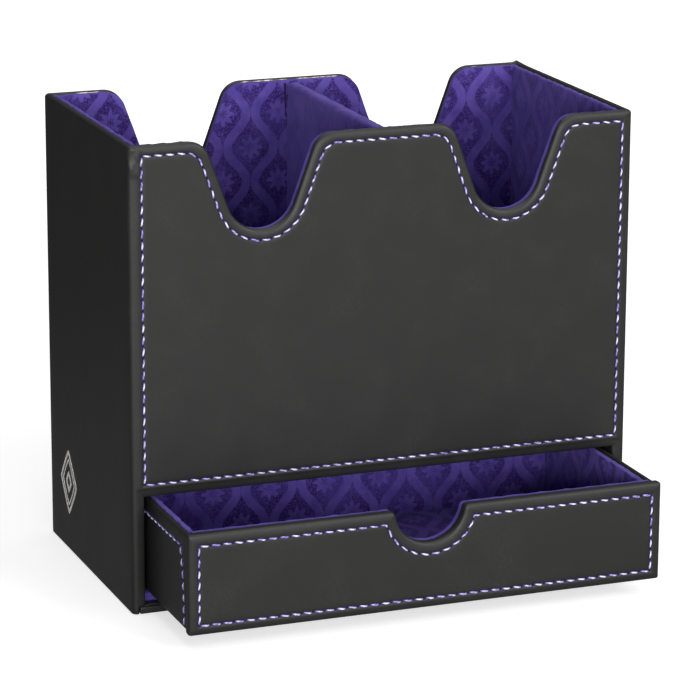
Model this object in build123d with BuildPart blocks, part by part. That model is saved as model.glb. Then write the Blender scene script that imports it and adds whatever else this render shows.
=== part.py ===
from build123d import *

import os
from math import cos, radians, sin, tan

# Card box for two decks above a drawer. Millimetres, +Z up, +X to the right seen from the front,
# -Y towards the viewer. The origin is on the ground, at the middle of the case's footprint.

# Case
case_width = 160.0
case_depth = 86.0
case_height = 142.0
case_corner_radius = 1.6
wall_board = 1.5
leatherette = 0.4
leatherette_turn_in = 10.0

# Finger scoops in the front and back walls
scoop_depth = 27.6
scoop_bottom_radius = 10.8
scoop_lean_degrees = 20.0
scoop_lip_radius = 7.0

# Linings
velour = 0.4
velour_turn_in = 6.0
lining_board = 1.1
lining_drop = 0.4

# Decks
shelf_height = 36.1
shelf_thickness = 2.2
divider_board_thickness = 3.2
divider_drop = 0.7
divider_end_clearance = 0.2

# Drawer bay
bay_side_board = 1.5
bay_floor_board_thickness = 2.2

# Drawer
drawer_open = 37.2
drawer_side_clearance = 1.0
drawer_top_clearance = 0.5
drawer_rear_clearance = 1.8
drawer_floor_clearance = 0.3
drawer_front_board_thickness = 2.8
drawer_front_overhang = 0.5
drawer_front_lip = 0.5
drawer_front_corner_radius = 1.2
lip_clearance = 0.4
notch_radius = 11.0
notch_depth = 10.4
notch_lip_radius = 1.6
tray_side_step = 0.6
tray_board = 1.0
tray_corner_radius = 1.2
tray_turn_in = 5.0
front_lining_drop = 0.3

# Walls of the case, each a board with leatherette on both faces
wall = leatherette + wall_board + leatherette
half_width = case_width / 2
half_depth = case_depth / 2
board_x = half_width - leatherette
board_y = half_depth - leatherette
board_inner_x = board_x - wall_board
board_inner_y = board_y - wall_board
wall_inner_x = half_width - wall
wall_inner_y = half_depth - wall

# Linings, each a board with velour on both faces
lining = velour + lining_board + velour
inner_x = wall_inner_x - lining
inner_y = wall_inner_y - lining
lining_top = case_height - lining_drop

# Base and drawer bay
base_top = wall
bay_side_outer_x = wall_inner_x
bay_side_inner_x = bay_side_outer_x - bay_side_board
bay_x = bay_side_inner_x - leatherette
bay_floor_top = base_top + velour + bay_floor_board_thickness + velour
bay_back_y = wall_inner_y - lining

# Decks
shelf_top = shelf_height + shelf_thickness
divider_half = divider_board_thickness / 2 + velour
divider_top = case_height - divider_drop
scoop_x = (inner_x + divider_half) / 2
scoop_arc_height = case_height - scoop_depth + scoop_bottom_radius
scoop_bottom = case_height - scoop_depth

# Drawer
drawer_front = -half_depth - drawer_open
drawer_front_thickness = leatherette + drawer_front_board_thickness + leatherette
drawer_front_x = bay_x - drawer_side_clearance
drawer_depth = bay_back_y + half_depth - drawer_rear_clearance
tray_bottom = bay_floor_top + drawer_floor_clearance
drawer_front_bottom = tray_bottom - drawer_front_lip
drawer_front_top = shelf_height - drawer_top_clearance
notch_arc_height = drawer_front_top - notch_depth + notch_radius
bay_floor_front = -half_depth + drawer_front_thickness + lip_clearance
tray_wall = leatherette + tray_board + leatherette
tray_x = drawer_front_x - drawer_front_overhang
tray_board_x = tray_x - leatherette
tray_board_inner_x = tray_board_x - tray_board
tray_inner_x = tray_x - tray_wall
tray_front = drawer_front + drawer_front_thickness
tray_back = drawer_front + drawer_depth
tray_board_back = tray_back - leatherette
tray_board_inner_back = tray_board_back - tray_board
tray_inner_back = tray_back - tray_wall
tray_top = drawer_front_top - tray_side_step
tray_board_bottom = tray_bottom + leatherette
tray_board_top = tray_top - leatherette
tray_floor = tray_board_bottom + tray_board
tray_lining_top = tray_top - lining_drop
drawer_front_lining_top = drawer_front_top - front_lining_drop

near_enough = 1e-4
cut_past = 5.0
pieces = {}


def keep(name, part):
    """Labels a finished piece and writes it to its own file."""
    part.label = name
    export_step(part, f"parts/{name}.step")
    pieces[name] = part


def block(low, high):
    """A box between its lowest and highest corners."""
    with BuildPart() as box:
        with Locations(tuple((a + b) / 2 for a, b in zip(low, high))):
            Box(*(b - a for a, b in zip(low, high)))
    return box.part


def shrink(low, high, amount):
    """The same box with each face moved inwards."""
    return tuple(a + amount for a in low), tuple(b - amount for b in high)


def back_window(low, high, axis, side, depth, margin):
    """The part of a sheet's turned-in layer that stays open, inside its margin on the back face."""
    across = "XYZ".index(axis)
    window_low, window_high = map(list, shrink(low, high, margin))
    if side < 0:
        window_low[across], window_high[across] = low[across], low[across] + depth
    else:
        window_low[across], window_high[across] = high[across] - depth, high[across]
    return block(window_low, window_high)


def lined_board(name, low, high, axis, side):
    """A board wrapped in velour, filling the box, with its back face on one side of an axis."""
    keep(f"{name}_board", block(*shrink(low, high, velour)))
    with BuildPart() as cover:
        add(block(low, high))
        add(pieces[f"{name}_board"], mode=Mode.SUBTRACT)
        add(back_window(low, high, axis, side, velour, velour_turn_in), mode=Mode.SUBTRACT)
    keep(f"{name}_velour", cover.part)


def lips(outline, top, half):
    """The corners where cut-outs meet the top edge of an outline."""
    at_top = outline.vertices().filter_by(lambda v: top - v.Y < near_enough)
    return at_top.filter_by(lambda v: abs(v.X) < half - near_enough)


def scooped_panel(front, back, half, bottom, inset):
    """A wall between two depths, with both finger scoops in its top, inset evenly from the wall's outline."""
    top = case_height - inset
    radius = scoop_bottom_radius + inset
    lean = radians(scoop_lean_degrees)
    tangent_x = radius * cos(lean)
    tangent_z = scoop_arc_height - radius * sin(lean)
    mouth_z = top + cut_past
    mouth_x = tangent_x + (mouth_z - tangent_z) * tan(lean)
    with BuildPart() as panel:
        with BuildSketch(Plane.XZ.offset(-front)) as outline:
            with Locations((0, (top + bottom) / 2)):
                Rectangle(2 * half, top - bottom)
            for centre in (-scoop_x, scoop_x):
                with Locations((centre, scoop_arc_height)):
                    Circle(radius, mode=Mode.SUBTRACT)
                with BuildLine():
                    Polyline(
                        (centre - tangent_x, tangent_z),
                        (centre + tangent_x, tangent_z),
                        (centre + mouth_x, mouth_z),
                        (centre - mouth_x, mouth_z),
                        close=True,
                    )
                make_face(mode=Mode.SUBTRACT)
            fillet(lips(outline, top, half), radius=scoop_lip_radius - inset)
        extrude(amount=front - back)
    return panel.part


def notched_panel(front, back, half, bottom, top, inset):
    """The drawer's front between two depths, with the round finger notch in its top."""
    with BuildPart() as panel:
        with BuildSketch(Plane.XZ.offset(-front)) as outline:
            with Locations((0, (top + bottom) / 2)):
                Rectangle(2 * half, top - bottom)
            with Locations((0, notch_arc_height)):
                Circle(notch_radius + inset, mode=Mode.SUBTRACT)
            fillet(lips(outline, top, half), radius=notch_lip_radius - inset)
        extrude(amount=front - back)
    return panel.part


os.makedirs("parts", exist_ok=True)

# Side walls, from the ground to the rim, with their outer upright edges rounded
for name, sign in (("left", -1), ("right", 1)):
    with BuildPart() as side_board:
        with Locations((sign * (board_x + board_inner_x) / 2, 0, case_height / 2)):
            Box(wall_board, 2 * board_y, case_height - 2 * leatherette)
        outer_edges = side_board.edges().filter_by(Axis.Z).group_by(Axis.X)[0 if sign < 0 else -1]
        fillet(outer_edges, radius=case_corner_radius - leatherette)
    keep(f"{name}_board", side_board.part)

# Front and back walls, between the side walls
for name, near, far, bottom in (
    ("front", -board_y, -board_inner_y, shelf_height),
    ("back", board_inner_y, board_y, 0),
):
    keep(f"{name}_board", scooped_panel(near, far, board_inner_x, bottom + leatherette, leatherette))

# Base, between the side walls and flush with the front
base_low = (-wall_inner_x, -half_depth, 0)
base_high = (wall_inner_x, wall_inner_y, base_top)
keep("base_board", block(*shrink(base_low, base_high, leatherette)))

with BuildPart() as base_wrap:
    add(block(base_low, base_high))
    add(pieces["base_board"], mode=Mode.SUBTRACT)
    add(back_window(base_low, base_high, "Z", 1, leatherette, leatherette_turn_in), mode=Mode.SUBTRACT)
keep("base_wrap", base_wrap.part)

# Boards beside the drawer, which carry the shelf and fill the front posts
for name, sign in (("bay_left", -1), ("bay_right", 1)):
    near, far = sorted((sign * bay_side_inner_x, sign * bay_side_outer_x))
    keep(f"{name}_board", block((near, -board_y, base_top), (far, wall_inner_y, shelf_height)))

# Shelf under the two decks
shelf_low = (-wall_inner_x, -wall_inner_y, shelf_height)
shelf_high = (wall_inner_x, wall_inner_y, shelf_top)
keep("shelf_board", block(shelf_low, shelf_high))

# Leatherette sleeve round the four walls, turned over the rim, the scoops and the drawer opening
with BuildPart() as outer_wrap:
    with BuildSketch():
        RectangleRounded(case_width, case_depth, case_corner_radius)
        Rectangle(2 * board_inner_x, case_depth - 2 * wall, mode=Mode.SUBTRACT)
        Rectangle(case_width - 2 * wall, case_depth - 2 * wall, mode=Mode.SUBTRACT)
    extrude(amount=case_height)
    add(scooped_panel(-half_depth, half_depth, half_width, 0, 0), mode=Mode.INTERSECT)
    for sign in (-1, 1):
        near, far = sorted((sign * wall_inner_x, sign * board_inner_x))
        add(block((near, -wall_inner_y, 0), (far, wall_inner_y, leatherette_turn_in)))
        add(block((near, -wall_inner_y, case_height - leatherette_turn_in), (far, wall_inner_y, case_height)))
    # Opening for the drawer, wider below the posts where the base shows
    add(block((-bay_x, -half_depth, 0), (bay_x, -wall_inner_y, shelf_height)), mode=Mode.SUBTRACT)
    add(block(base_low, (wall_inner_x, -wall_inner_y, base_top)), mode=Mode.SUBTRACT)
    # Edges turned in along the posts
    for sign in (-1, 1):
        near, far = sorted((sign * bay_x, sign * bay_side_inner_x))
        add(block((near, -board_y, base_top), (far, -board_y + leatherette_turn_in, shelf_height)))
    for name in ("left", "right", "front", "back", "bay_left", "bay_right"):
        add(pieces[f"{name}_board"], mode=Mode.SUBTRACT)
    # Open middles of the turned-in layers behind the front and back boards
    for near, far, bottom in (
        (-board_inner_y, -wall_inner_y, shelf_height + leatherette_turn_in),
        (wall_inner_y, board_inner_y, leatherette_turn_in),
    ):
        window_top = scoop_bottom - leatherette_turn_in
        add(block((-wall_inner_x, near, bottom), (wall_inner_x, far, window_top)), mode=Mode.SUBTRACT)
keep("outer_wrap", outer_wrap.part)

# Velour beside the drawer, behind the turned-in leatherette
for name, sign in (("bay_left", -1), ("bay_right", 1)):
    near, far = sorted((sign * bay_x, sign * bay_side_inner_x))
    sheet_front = -board_y + leatherette_turn_in
    keep(f"{name}_velour", block((near, sheet_front, base_top), (far, bay_back_y, shelf_height)))

# Back and floor of the bay
bay_back_low = (-bay_side_inner_x, bay_back_y, base_top)
bay_back_high = (bay_side_inner_x, wall_inner_y, shelf_height)
lined_board("bay_back", bay_back_low, bay_back_high, "Y", 1)
lined_board("bay_floor", (-bay_x, bay_floor_front, base_top), (bay_x, bay_back_y, bay_floor_top), "Z", -1)

# Linings of the side walls above the shelf
for name, sign in (("left_lining", -1), ("right_lining", 1)):
    near, far = sorted((sign * inner_x, sign * wall_inner_x))
    lined_board(name, (near, -inner_y, shelf_top), (far, inner_y, lining_top), "X", sign)

# Scooped linings of the front and back walls
for name, sign in (("front_lining", -1), ("back_lining", 1)):
    near, far = sorted((sign * inner_y, sign * wall_inner_y))
    core_inset = lining_drop + velour
    core = scooped_panel(near + velour, far - velour, wall_inner_x - velour, shelf_top + velour, core_inset)
    keep(f"{name}_board", core)
    back_low, back_high = sorted((sign * wall_inner_y, sign * (wall_inner_y - velour)))
    window_half = wall_inner_x - velour_turn_in
    window_low = (-window_half, back_low, shelf_top + velour_turn_in)
    window_high = (window_half, back_high, scoop_bottom - velour_turn_in)
    with BuildPart() as lining_velour:
        add(scooped_panel(near, far, wall_inner_x, shelf_top, lining_drop))
        add(core, mode=Mode.SUBTRACT)
        add(block(window_low, window_high), mode=Mode.SUBTRACT)
    keep(f"{name}_velour", lining_velour.part)

# Divider between the compartments, its velour open only underneath
divider_y = inner_y - divider_end_clearance
divider_core_low = (-divider_board_thickness / 2, velour - divider_y, shelf_top)
divider_core_high = (divider_board_thickness / 2, divider_y - velour, divider_top - velour)
keep("divider_board", block(divider_core_low, divider_core_high))

with BuildPart() as divider_velour:
    add(block((-divider_half, -divider_y, shelf_top), (divider_half, divider_y, divider_top)))
    add(pieces["divider_board"], mode=Mode.SUBTRACT)
keep("divider_velour", divider_velour.part)

# Floors of the two compartments
for name, sign in (("left_floor", -1), ("right_floor", 1)):
    near, far = sorted((sign * divider_half, sign * inner_x))
    lined_board(name, (near, -inner_y, shelf_top), (far, inner_y, shelf_top + lining), "Z", -1)

# Drawer front
with BuildPart() as drawer_front_board:
    add(notched_panel(
        drawer_front + leatherette,
        tray_front - leatherette,
        drawer_front_x - leatherette,
        drawer_front_bottom + leatherette,
        drawer_front_top - leatherette,
        leatherette,
    ))
    front_edges = drawer_front_board.edges().filter_by(Axis.Z).group_by(Axis.Y)[0]
    fillet(front_edges, radius=drawer_front_corner_radius - leatherette)
keep("drawer_front_board", drawer_front_board.part)

with BuildPart() as drawer_front_wrap:
    add(notched_panel(drawer_front, tray_front, drawer_front_x, drawer_front_bottom, drawer_front_top, 0))
    front_edges = drawer_front_wrap.edges().filter_by(Axis.Z).group_by(Axis.Y)[0]
    fillet(front_edges, radius=drawer_front_corner_radius)
    add(drawer_front_board.part, mode=Mode.SUBTRACT)
    window_half = drawer_front_x - tray_turn_in
    window_low = (-window_half, tray_front - leatherette, drawer_front_bottom + tray_turn_in)
    window_high = (window_half, tray_front, drawer_front_top - notch_depth - tray_turn_in)
    add(block(window_low, window_high), mode=Mode.SUBTRACT)
keep("drawer_front_wrap", drawer_front_wrap.part)

# Tray boards
for name, sign in (("tray_left", -1), ("tray_right", 1)):
    near, far = sorted((sign * tray_board_inner_x, sign * tray_board_x))
    with BuildPart() as tray_side:
        add(block((near, tray_front, tray_board_bottom), (far, tray_board_back, tray_board_top)))
        rear_edges = tray_side.edges().filter_by(Axis.Z).group_by(Axis.Y)[-1].sort_by(Axis.X)
        fillet(rear_edges[0 if sign < 0 else -1], radius=tray_corner_radius - leatherette)
    keep(f"{name}_board", tray_side.part)

tray_back_low = (-tray_board_inner_x, tray_board_inner_back, tray_board_bottom)
tray_back_high = (tray_board_inner_x, tray_board_back, tray_board_top)
keep("tray_back_board", block(tray_back_low, tray_back_high))

tray_floor_low = (-tray_board_inner_x, tray_front, tray_board_bottom)
tray_floor_high = (tray_board_inner_x, tray_board_inner_back, tray_floor)
keep("tray_bottom_board", block(tray_floor_low, tray_floor_high))

# Leatherette strip round the tray, turned over its top and under its bottom
under_x = tray_x - tray_turn_in
under_back = tray_back - tray_turn_in
sheet_low = (-under_x, tray_front, tray_bottom)
sheet_high = (under_x, under_back, tray_board_bottom)
with BuildPart() as tray_wrap:
    add(block((-tray_x, tray_front, tray_bottom), (tray_x, tray_back, tray_top)))
    back_edges = tray_wrap.edges().filter_by(Axis.Z).group_by(Axis.Y)[-1]
    fillet(back_edges, radius=tray_corner_radius)
    inside_low = (-tray_inner_x, tray_front, tray_board_bottom)
    inside_high = (tray_inner_x, tray_inner_back, tray_top)
    add(block(inside_low, inside_high), mode=Mode.SUBTRACT)
    add(block(sheet_low, sheet_high), mode=Mode.SUBTRACT)
    for name in ("tray_left", "tray_right", "tray_back", "tray_bottom"):
        add(pieces[f"{name}_board"], mode=Mode.SUBTRACT)
    window_low = (-tray_board_inner_x, tray_front, tray_board_bottom)
    window_high = (tray_board_inner_x, tray_board_inner_back, tray_top - tray_turn_in)
    add(block(window_low, window_high), mode=Mode.SUBTRACT)
keep("tray_wrap", tray_wrap.part)

# Sheet under the tray, between the turned-under edges
keep("tray_bottom_sheet", block(sheet_low, sheet_high))

# Lining of the drawer front, notched like it
front_lining_back = tray_front + lining
front_lining_core = notched_panel(
    tray_front + velour,
    front_lining_back - velour,
    tray_inner_x - velour,
    tray_floor + velour,
    drawer_front_lining_top - velour,
    front_lining_drop + velour,
)
keep("drawer_front_lining_board", front_lining_core)
with BuildPart() as drawer_front_lining_velour:
    add(notched_panel(
        tray_front,
        front_lining_back,
        tray_inner_x,
        tray_floor,
        drawer_front_lining_top,
        front_lining_drop,
    ))
    add(front_lining_core, mode=Mode.SUBTRACT)
keep("drawer_front_lining_velour", drawer_front_lining_velour.part)

# Linings of the tray
tray_lined_x = tray_inner_x - lining
tray_lined_back = tray_inner_back - lining
for name, sign in (("tray_left_lining", -1), ("tray_right_lining", 1)):
    near, far = sorted((sign * tray_lined_x, sign * tray_inner_x))
    lined_board(name, (near, front_lining_back, tray_floor), (far, tray_lined_back, tray_lining_top), "X", sign)
back_lining_low = (-tray_inner_x, tray_lined_back, tray_floor)
back_lining_high = (tray_inner_x, tray_inner_back, tray_lining_top)
lined_board("tray_back_lining", back_lining_low, back_lining_high, "Y", 1)
floor_lining_low = (-tray_lined_x, front_lining_back, tray_floor)
floor_lining_high = (tray_lined_x, tray_lined_back, tray_floor + lining)
lined_board("tray_floor_lining", floor_lining_low, floor_lining_high, "Z", -1)
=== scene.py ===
"""Double deck box with a drawer: its leatherette, velour, seams and foil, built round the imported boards.

Lengths are in metres, +Z is up, +X is to the right seen from the front, and -Y is towards the viewer.
The boards come from the frame. The coverings replace the frame's plain coverings, piece for piece.
"""

from __future__ import annotations

import logging
import math
import random
import sys
from dataclasses import dataclass, field
from enum import Enum
from typing import Callable, Optional, Sequence

import bmesh
import bpy
import numpy as np
from mathutils import Matrix, Vector, noise
from mathutils.geometry import delaunay_2d_cdt

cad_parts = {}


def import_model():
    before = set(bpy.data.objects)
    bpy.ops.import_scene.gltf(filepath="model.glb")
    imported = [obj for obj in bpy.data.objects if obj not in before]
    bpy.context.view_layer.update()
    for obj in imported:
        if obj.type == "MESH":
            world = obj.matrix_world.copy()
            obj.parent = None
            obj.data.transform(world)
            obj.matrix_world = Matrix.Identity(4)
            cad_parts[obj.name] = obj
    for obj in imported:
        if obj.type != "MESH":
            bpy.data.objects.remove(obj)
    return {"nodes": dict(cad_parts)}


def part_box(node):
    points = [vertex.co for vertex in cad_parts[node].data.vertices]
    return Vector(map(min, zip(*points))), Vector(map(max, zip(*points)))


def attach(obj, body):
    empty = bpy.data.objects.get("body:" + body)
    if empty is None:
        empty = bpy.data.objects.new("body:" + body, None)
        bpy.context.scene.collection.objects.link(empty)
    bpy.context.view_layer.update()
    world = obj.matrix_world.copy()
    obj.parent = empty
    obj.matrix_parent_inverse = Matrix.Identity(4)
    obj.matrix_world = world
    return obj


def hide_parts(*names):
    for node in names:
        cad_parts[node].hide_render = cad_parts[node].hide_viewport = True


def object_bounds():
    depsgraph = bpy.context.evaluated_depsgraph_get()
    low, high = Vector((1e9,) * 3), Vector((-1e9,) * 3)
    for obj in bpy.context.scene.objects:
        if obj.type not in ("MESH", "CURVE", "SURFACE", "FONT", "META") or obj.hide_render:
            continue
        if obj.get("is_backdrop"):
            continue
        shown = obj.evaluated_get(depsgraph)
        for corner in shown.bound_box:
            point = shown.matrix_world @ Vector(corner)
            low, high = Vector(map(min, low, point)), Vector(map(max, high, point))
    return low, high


MM = 0.001
WELD = 2e-6
PILE_SEED = 7

Socket = bpy.types.NodeSocket
Material = bpy.types.Material
Object = bpy.types.Object
Point = tuple[float, float, float]
Colour = tuple[float, float, float]
Sizes = tuple[float, float, float]
Flat = tuple[float, float]
Warp = Callable[[Vector], Vector]

log = logging.getLogger("deck_box")


class Slot(Enum):
    """The record's material slots."""

    BOARD = "grey_board"
    LEATHERETTE = "leatherette"
    VELOUR = "velour"
    THREAD = "thread"
    FOIL = "foil"


class Body(Enum):
    """The bodies that the pieces ride on."""

    CASE = "case"
    DRAWER = "drawer"


class Face(Enum):
    """A side of the box, told by the direction that it looks along Y."""

    FRONT = -1
    BACK = 1


class Weave(Enum):
    """The two axes that a velour's pattern runs along."""

    ACROSS_AND_UP = (0, 2)
    DEEP_AND_UP = (1, 2)
    ACROSS_AND_DEEP = (0, 1)


def blend(a: float, b: float, share: float) -> float:
    """Return the value a share of the way from a to b."""
    return a + (b - a) * share


def steps(start: float, end: float, count: int) -> list[float]:
    """Return count + 1 even values from start to end."""
    return [blend(start, end, k / count) for k in range(count + 1)]


def ease(share: float) -> float:
    """Return a share kept between 0 and 1 and eased at both ends."""
    held = min(max(share, 0.0), 1.0)
    return held * held * (3 - 2 * held)


def fade(distance: float, reach: float) -> float:
    """Return a bell curve's height at a distance, one at its middle."""
    return math.exp(-((distance / reach) ** 2))


def around(count: int) -> list[Flat]:
    """Return the cosine and the sine of even steps once round a circle."""
    return [(math.cos(a), math.sin(a)) for a in steps(0.0, math.tau, count)[:-1]]


def arc(middle: Flat, radius: float, start: float, end: float, count: int) -> list[Flat]:
    """Return the points of an arc from a start angle to an end angle."""
    return [
        (middle[0] + radius * math.cos(a), middle[1] + radius * math.sin(a))
        for a in steps(start, end, count)
    ]


def turned_corner(high: Vector, radius: float, depth: float, count: int) -> list[Flat]:
    """Return an upright corner's points from above, from the side face to the end face.

    Args:
        high: The box's highest corner.
        radius: The radius at the faces.
        depth: How far the points lie behind the faces.
        count: How many parts the turn has.

    Returns:
        The points, all in one place where the depth takes up the radius.
    """
    if depth >= radius:
        return [(high.x - depth, high.y - depth)] * (count + 1)
    return arc((high.x - radius, high.y - radius), radius - depth, 0.0, math.pi / 2, count)


def mirrored(half: list[Flat], centre: float) -> list[Flat]:
    """Return a cut's whole edge from left to right.

    Args:
        half: Its right half, from the lip to the middle.
        centre: Where its middle lies.

    Returns:
        The points, with both ends.
    """
    left = [(-x, z) for x, z in half]
    return [(centre + x, z) for x, z in left + half[-2::-1]]


def travelled(points: np.ndarray) -> np.ndarray:
    """Return the distance along a line from its start to each of its points."""
    return np.concatenate([[0.0], np.cumsum(np.linalg.norm(np.diff(points, axis=0), axis=1))])


def compartment_middle() -> float:
    """Return how far to the side each compartment's middle lies, where its scoops are."""
    return (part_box("divider_velour")[1].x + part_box("right_lining_velour")[0].x) / 2


class NodeBench:
    """Wires up the nodes of one material, or of the world, with short calls."""

    def __init__(self, name: str, world: bool = False) -> None:
        """Start an empty material or world.

        Args:
            name: Its name.
            world: Whether it is a world.
        """
        self.material = (bpy.data.worlds if world else bpy.data.materials).new(name)
        self.material.use_nodes = True
        self.tree = self.material.node_tree
        self.tree.nodes.clear()
        self.output = self.tree.nodes.new("ShaderNodeOutputWorld" if world else "ShaderNodeOutputMaterial")

    def node(self, kind: str, **settings: object) -> bpy.types.Node:
        """Add a node.

        Args:
            kind: The node's type, without the word ShaderNode.
            **settings: Its properties.

        Returns:
            The new node.
        """
        made = self.tree.nodes.new("ShaderNode" + kind)
        for key, value in settings.items():
            setattr(made, key, value)
        return made

    def feed(self, target: Socket, value: object) -> None:
        """Link a socket to another, or set it to a plain value."""
        if isinstance(value, Socket):
            self.tree.links.new(value, target)
        else:
            target.default_value = value

    def math(self, operation: str, *values: object) -> Socket:
        """Add a Math node.

        Args:
            operation: The operation's name.
            *values: Sockets or numbers for its inputs.

        Returns:
            Its result.
        """
        made = self.node("Math", operation=operation)
        for socket, value in zip(made.inputs, values):
            self.feed(socket, value)
        return made.outputs[0]

    def product(self, *values: object) -> object:
        """Return the product of sockets and numbers, the first two first."""
        made = values[0]
        for value in values[1:]:
            made = self.math("MULTIPLY", made, value)
        return made

    def rest(self, value: object) -> Socket:
        """Return what a value lacks to one."""
        return self.math("SUBTRACT", 1.0, value)

    def smooth(self, value: object, low: float, high: float) -> Socket:
        """Return a value eased from 0 at low to 1 at high."""
        made = self.node("MapRange", interpolation_type="SMOOTHSTEP", clamp=True)
        return self._spread(made, "From", value, low, high)

    def stretch(self, value: object, low: float, high: float) -> Socket:
        """Return a value from 0 to 1 spread over the range from low to high."""
        return self._spread(self.node("MapRange", clamp=True), "To", value, low, high)

    def _spread(
        self, made: bpy.types.Node, end: str, value: object, low: float, high: float
    ) -> Socket:
        """Feed a range node, set the limits at one of its ends, and return its result."""
        self.feed(made.inputs["Value"], value)
        made.inputs[end + " Min"].default_value = low
        made.inputs[end + " Max"].default_value = high
        return made.outputs["Result"]

    def mix(self, share: object, first: object, second: object) -> Socket:
        """Return a colour between two others."""
        made = self.node("Mix", data_type="RGBA")
        self.feed(made.inputs["Factor"], share)
        self.feed(made.inputs[6], first)
        self.feed(made.inputs[7], second)
        return made.outputs[2]

    def noise(
        self,
        place: object,
        size: float,
        detail: float = 3.0,
        rough: float = 0.5,
    ) -> Socket:
        """Return noise whose blotches are about a given size.

        Args:
            place: The coordinates.
            size: The size of a blotch, in metres.
            detail: How many finer layers it has.
            rough: How strong the finer layers are.

        Returns:
            The noise, from 0 to 1.
        """
        made = self.node("TexNoise")
        self.feed(made.inputs["Vector"], place)
        made.inputs["Scale"].default_value = 1.0 / size
        made.inputs["Detail"].default_value = detail
        made.inputs["Roughness"].default_value = rough
        return made.outputs[0]

    def cells(self, place: object, size: float) -> Socket:
        """Return the distance inside cells of about a given size."""
        made = self.node("TexVoronoi", feature="SMOOTH_F1")
        self.feed(made.inputs["Vector"], place)
        made.inputs["Scale"].default_value = 1.0 / size
        return made.outputs["Distance"]

    def sheet(self, name: str) -> tuple[Socket, Socket]:
        """Return both coordinates of a named flat map."""
        axes = self.node("SeparateXYZ")
        self.feed(axes.inputs[0], self.node("UVMap", uv_map=name).outputs[0])
        return axes.outputs[0], axes.outputs[1]

    def bump(self, height: object, depth: float, under: object = None) -> Socket:
        """Return a normal bent by a height.

        Args:
            height: The height, from 0 to 1.
            depth: The depth of a full height, in metres.
            under: The normal of a coarser bump below it.

        Returns:
            The bent normal.
        """
        made = self.node("Bump")
        made.inputs["Distance"].default_value = depth
        self.feed(made.inputs["Height"], height)
        if under is not None:
            self.feed(made.inputs["Normal"], under)
        return made.outputs[0]

    def place(self) -> Socket:
        """Return the object's own coordinates."""
        return self.node("TexCoord").outputs["Object"]

    def principled(self, **inputs: object) -> Material:
        """Finish the material with a Principled shader.

        Args:
            **inputs: Sockets or values, with underscores for spaces.

        Returns:
            The material.
        """
        shader = self.node("BsdfPrincipled")
        for key, value in inputs.items():
            self.feed(shader.inputs[key.replace("_", " ")], value)
        self.tree.links.new(shader.outputs[0], self.output.inputs[0])
        return self.material


def opaque(colour: Sequence[float]) -> tuple[float, float, float, float]:
    """Return a colour with full cover."""
    return (colour[0], colour[1], colour[2], 1.0)


@dataclass(frozen=True)
class Leatherette:
    """Black imitation leather with a satin face, a very fine grain and soft unevenness."""

    name: str = "leatherette"
    colour: Colour = (0.0130, 0.0129, 0.0124)
    rubbed: Colour = (0.0200, 0.0197, 0.0188)
    roughness: tuple[float, float] = (0.40, 0.52)
    grain: float = 0.42 * MM
    grain_depth: float = 0.008 * MM
    waves: float = 14 * MM
    wave_depth: float = 0.05 * MM
    specks: float = 1.1 * MM
    specular: float = 0.38

    def material(self) -> Material:
        """Return the finish as a material."""
        bench = NodeBench(self.name)
        place = bench.place()
        mottle = bench.noise(place, self.waves, 4.0, 0.6)
        speck = bench.noise(place, self.specks, 2.0, 0.7)
        rub = bench.product(bench.smooth(mottle, 0.42, 0.75), bench.smooth(speck, 0.35, 0.7))
        grain = bench.cells(place, self.grain)
        wavy = bench.bump(bench.noise(place, self.waves, 1.0), self.wave_depth)
        return bench.principled(
            Base_Color=bench.mix(rub, opaque(self.colour), opaque(self.rubbed)),
            Roughness=bench.stretch(mottle, *self.roughness),
            Specular_IOR_Level=self.specular,
            Normal=bench.bump(grain, self.grain_depth, wavy),
        )


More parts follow.
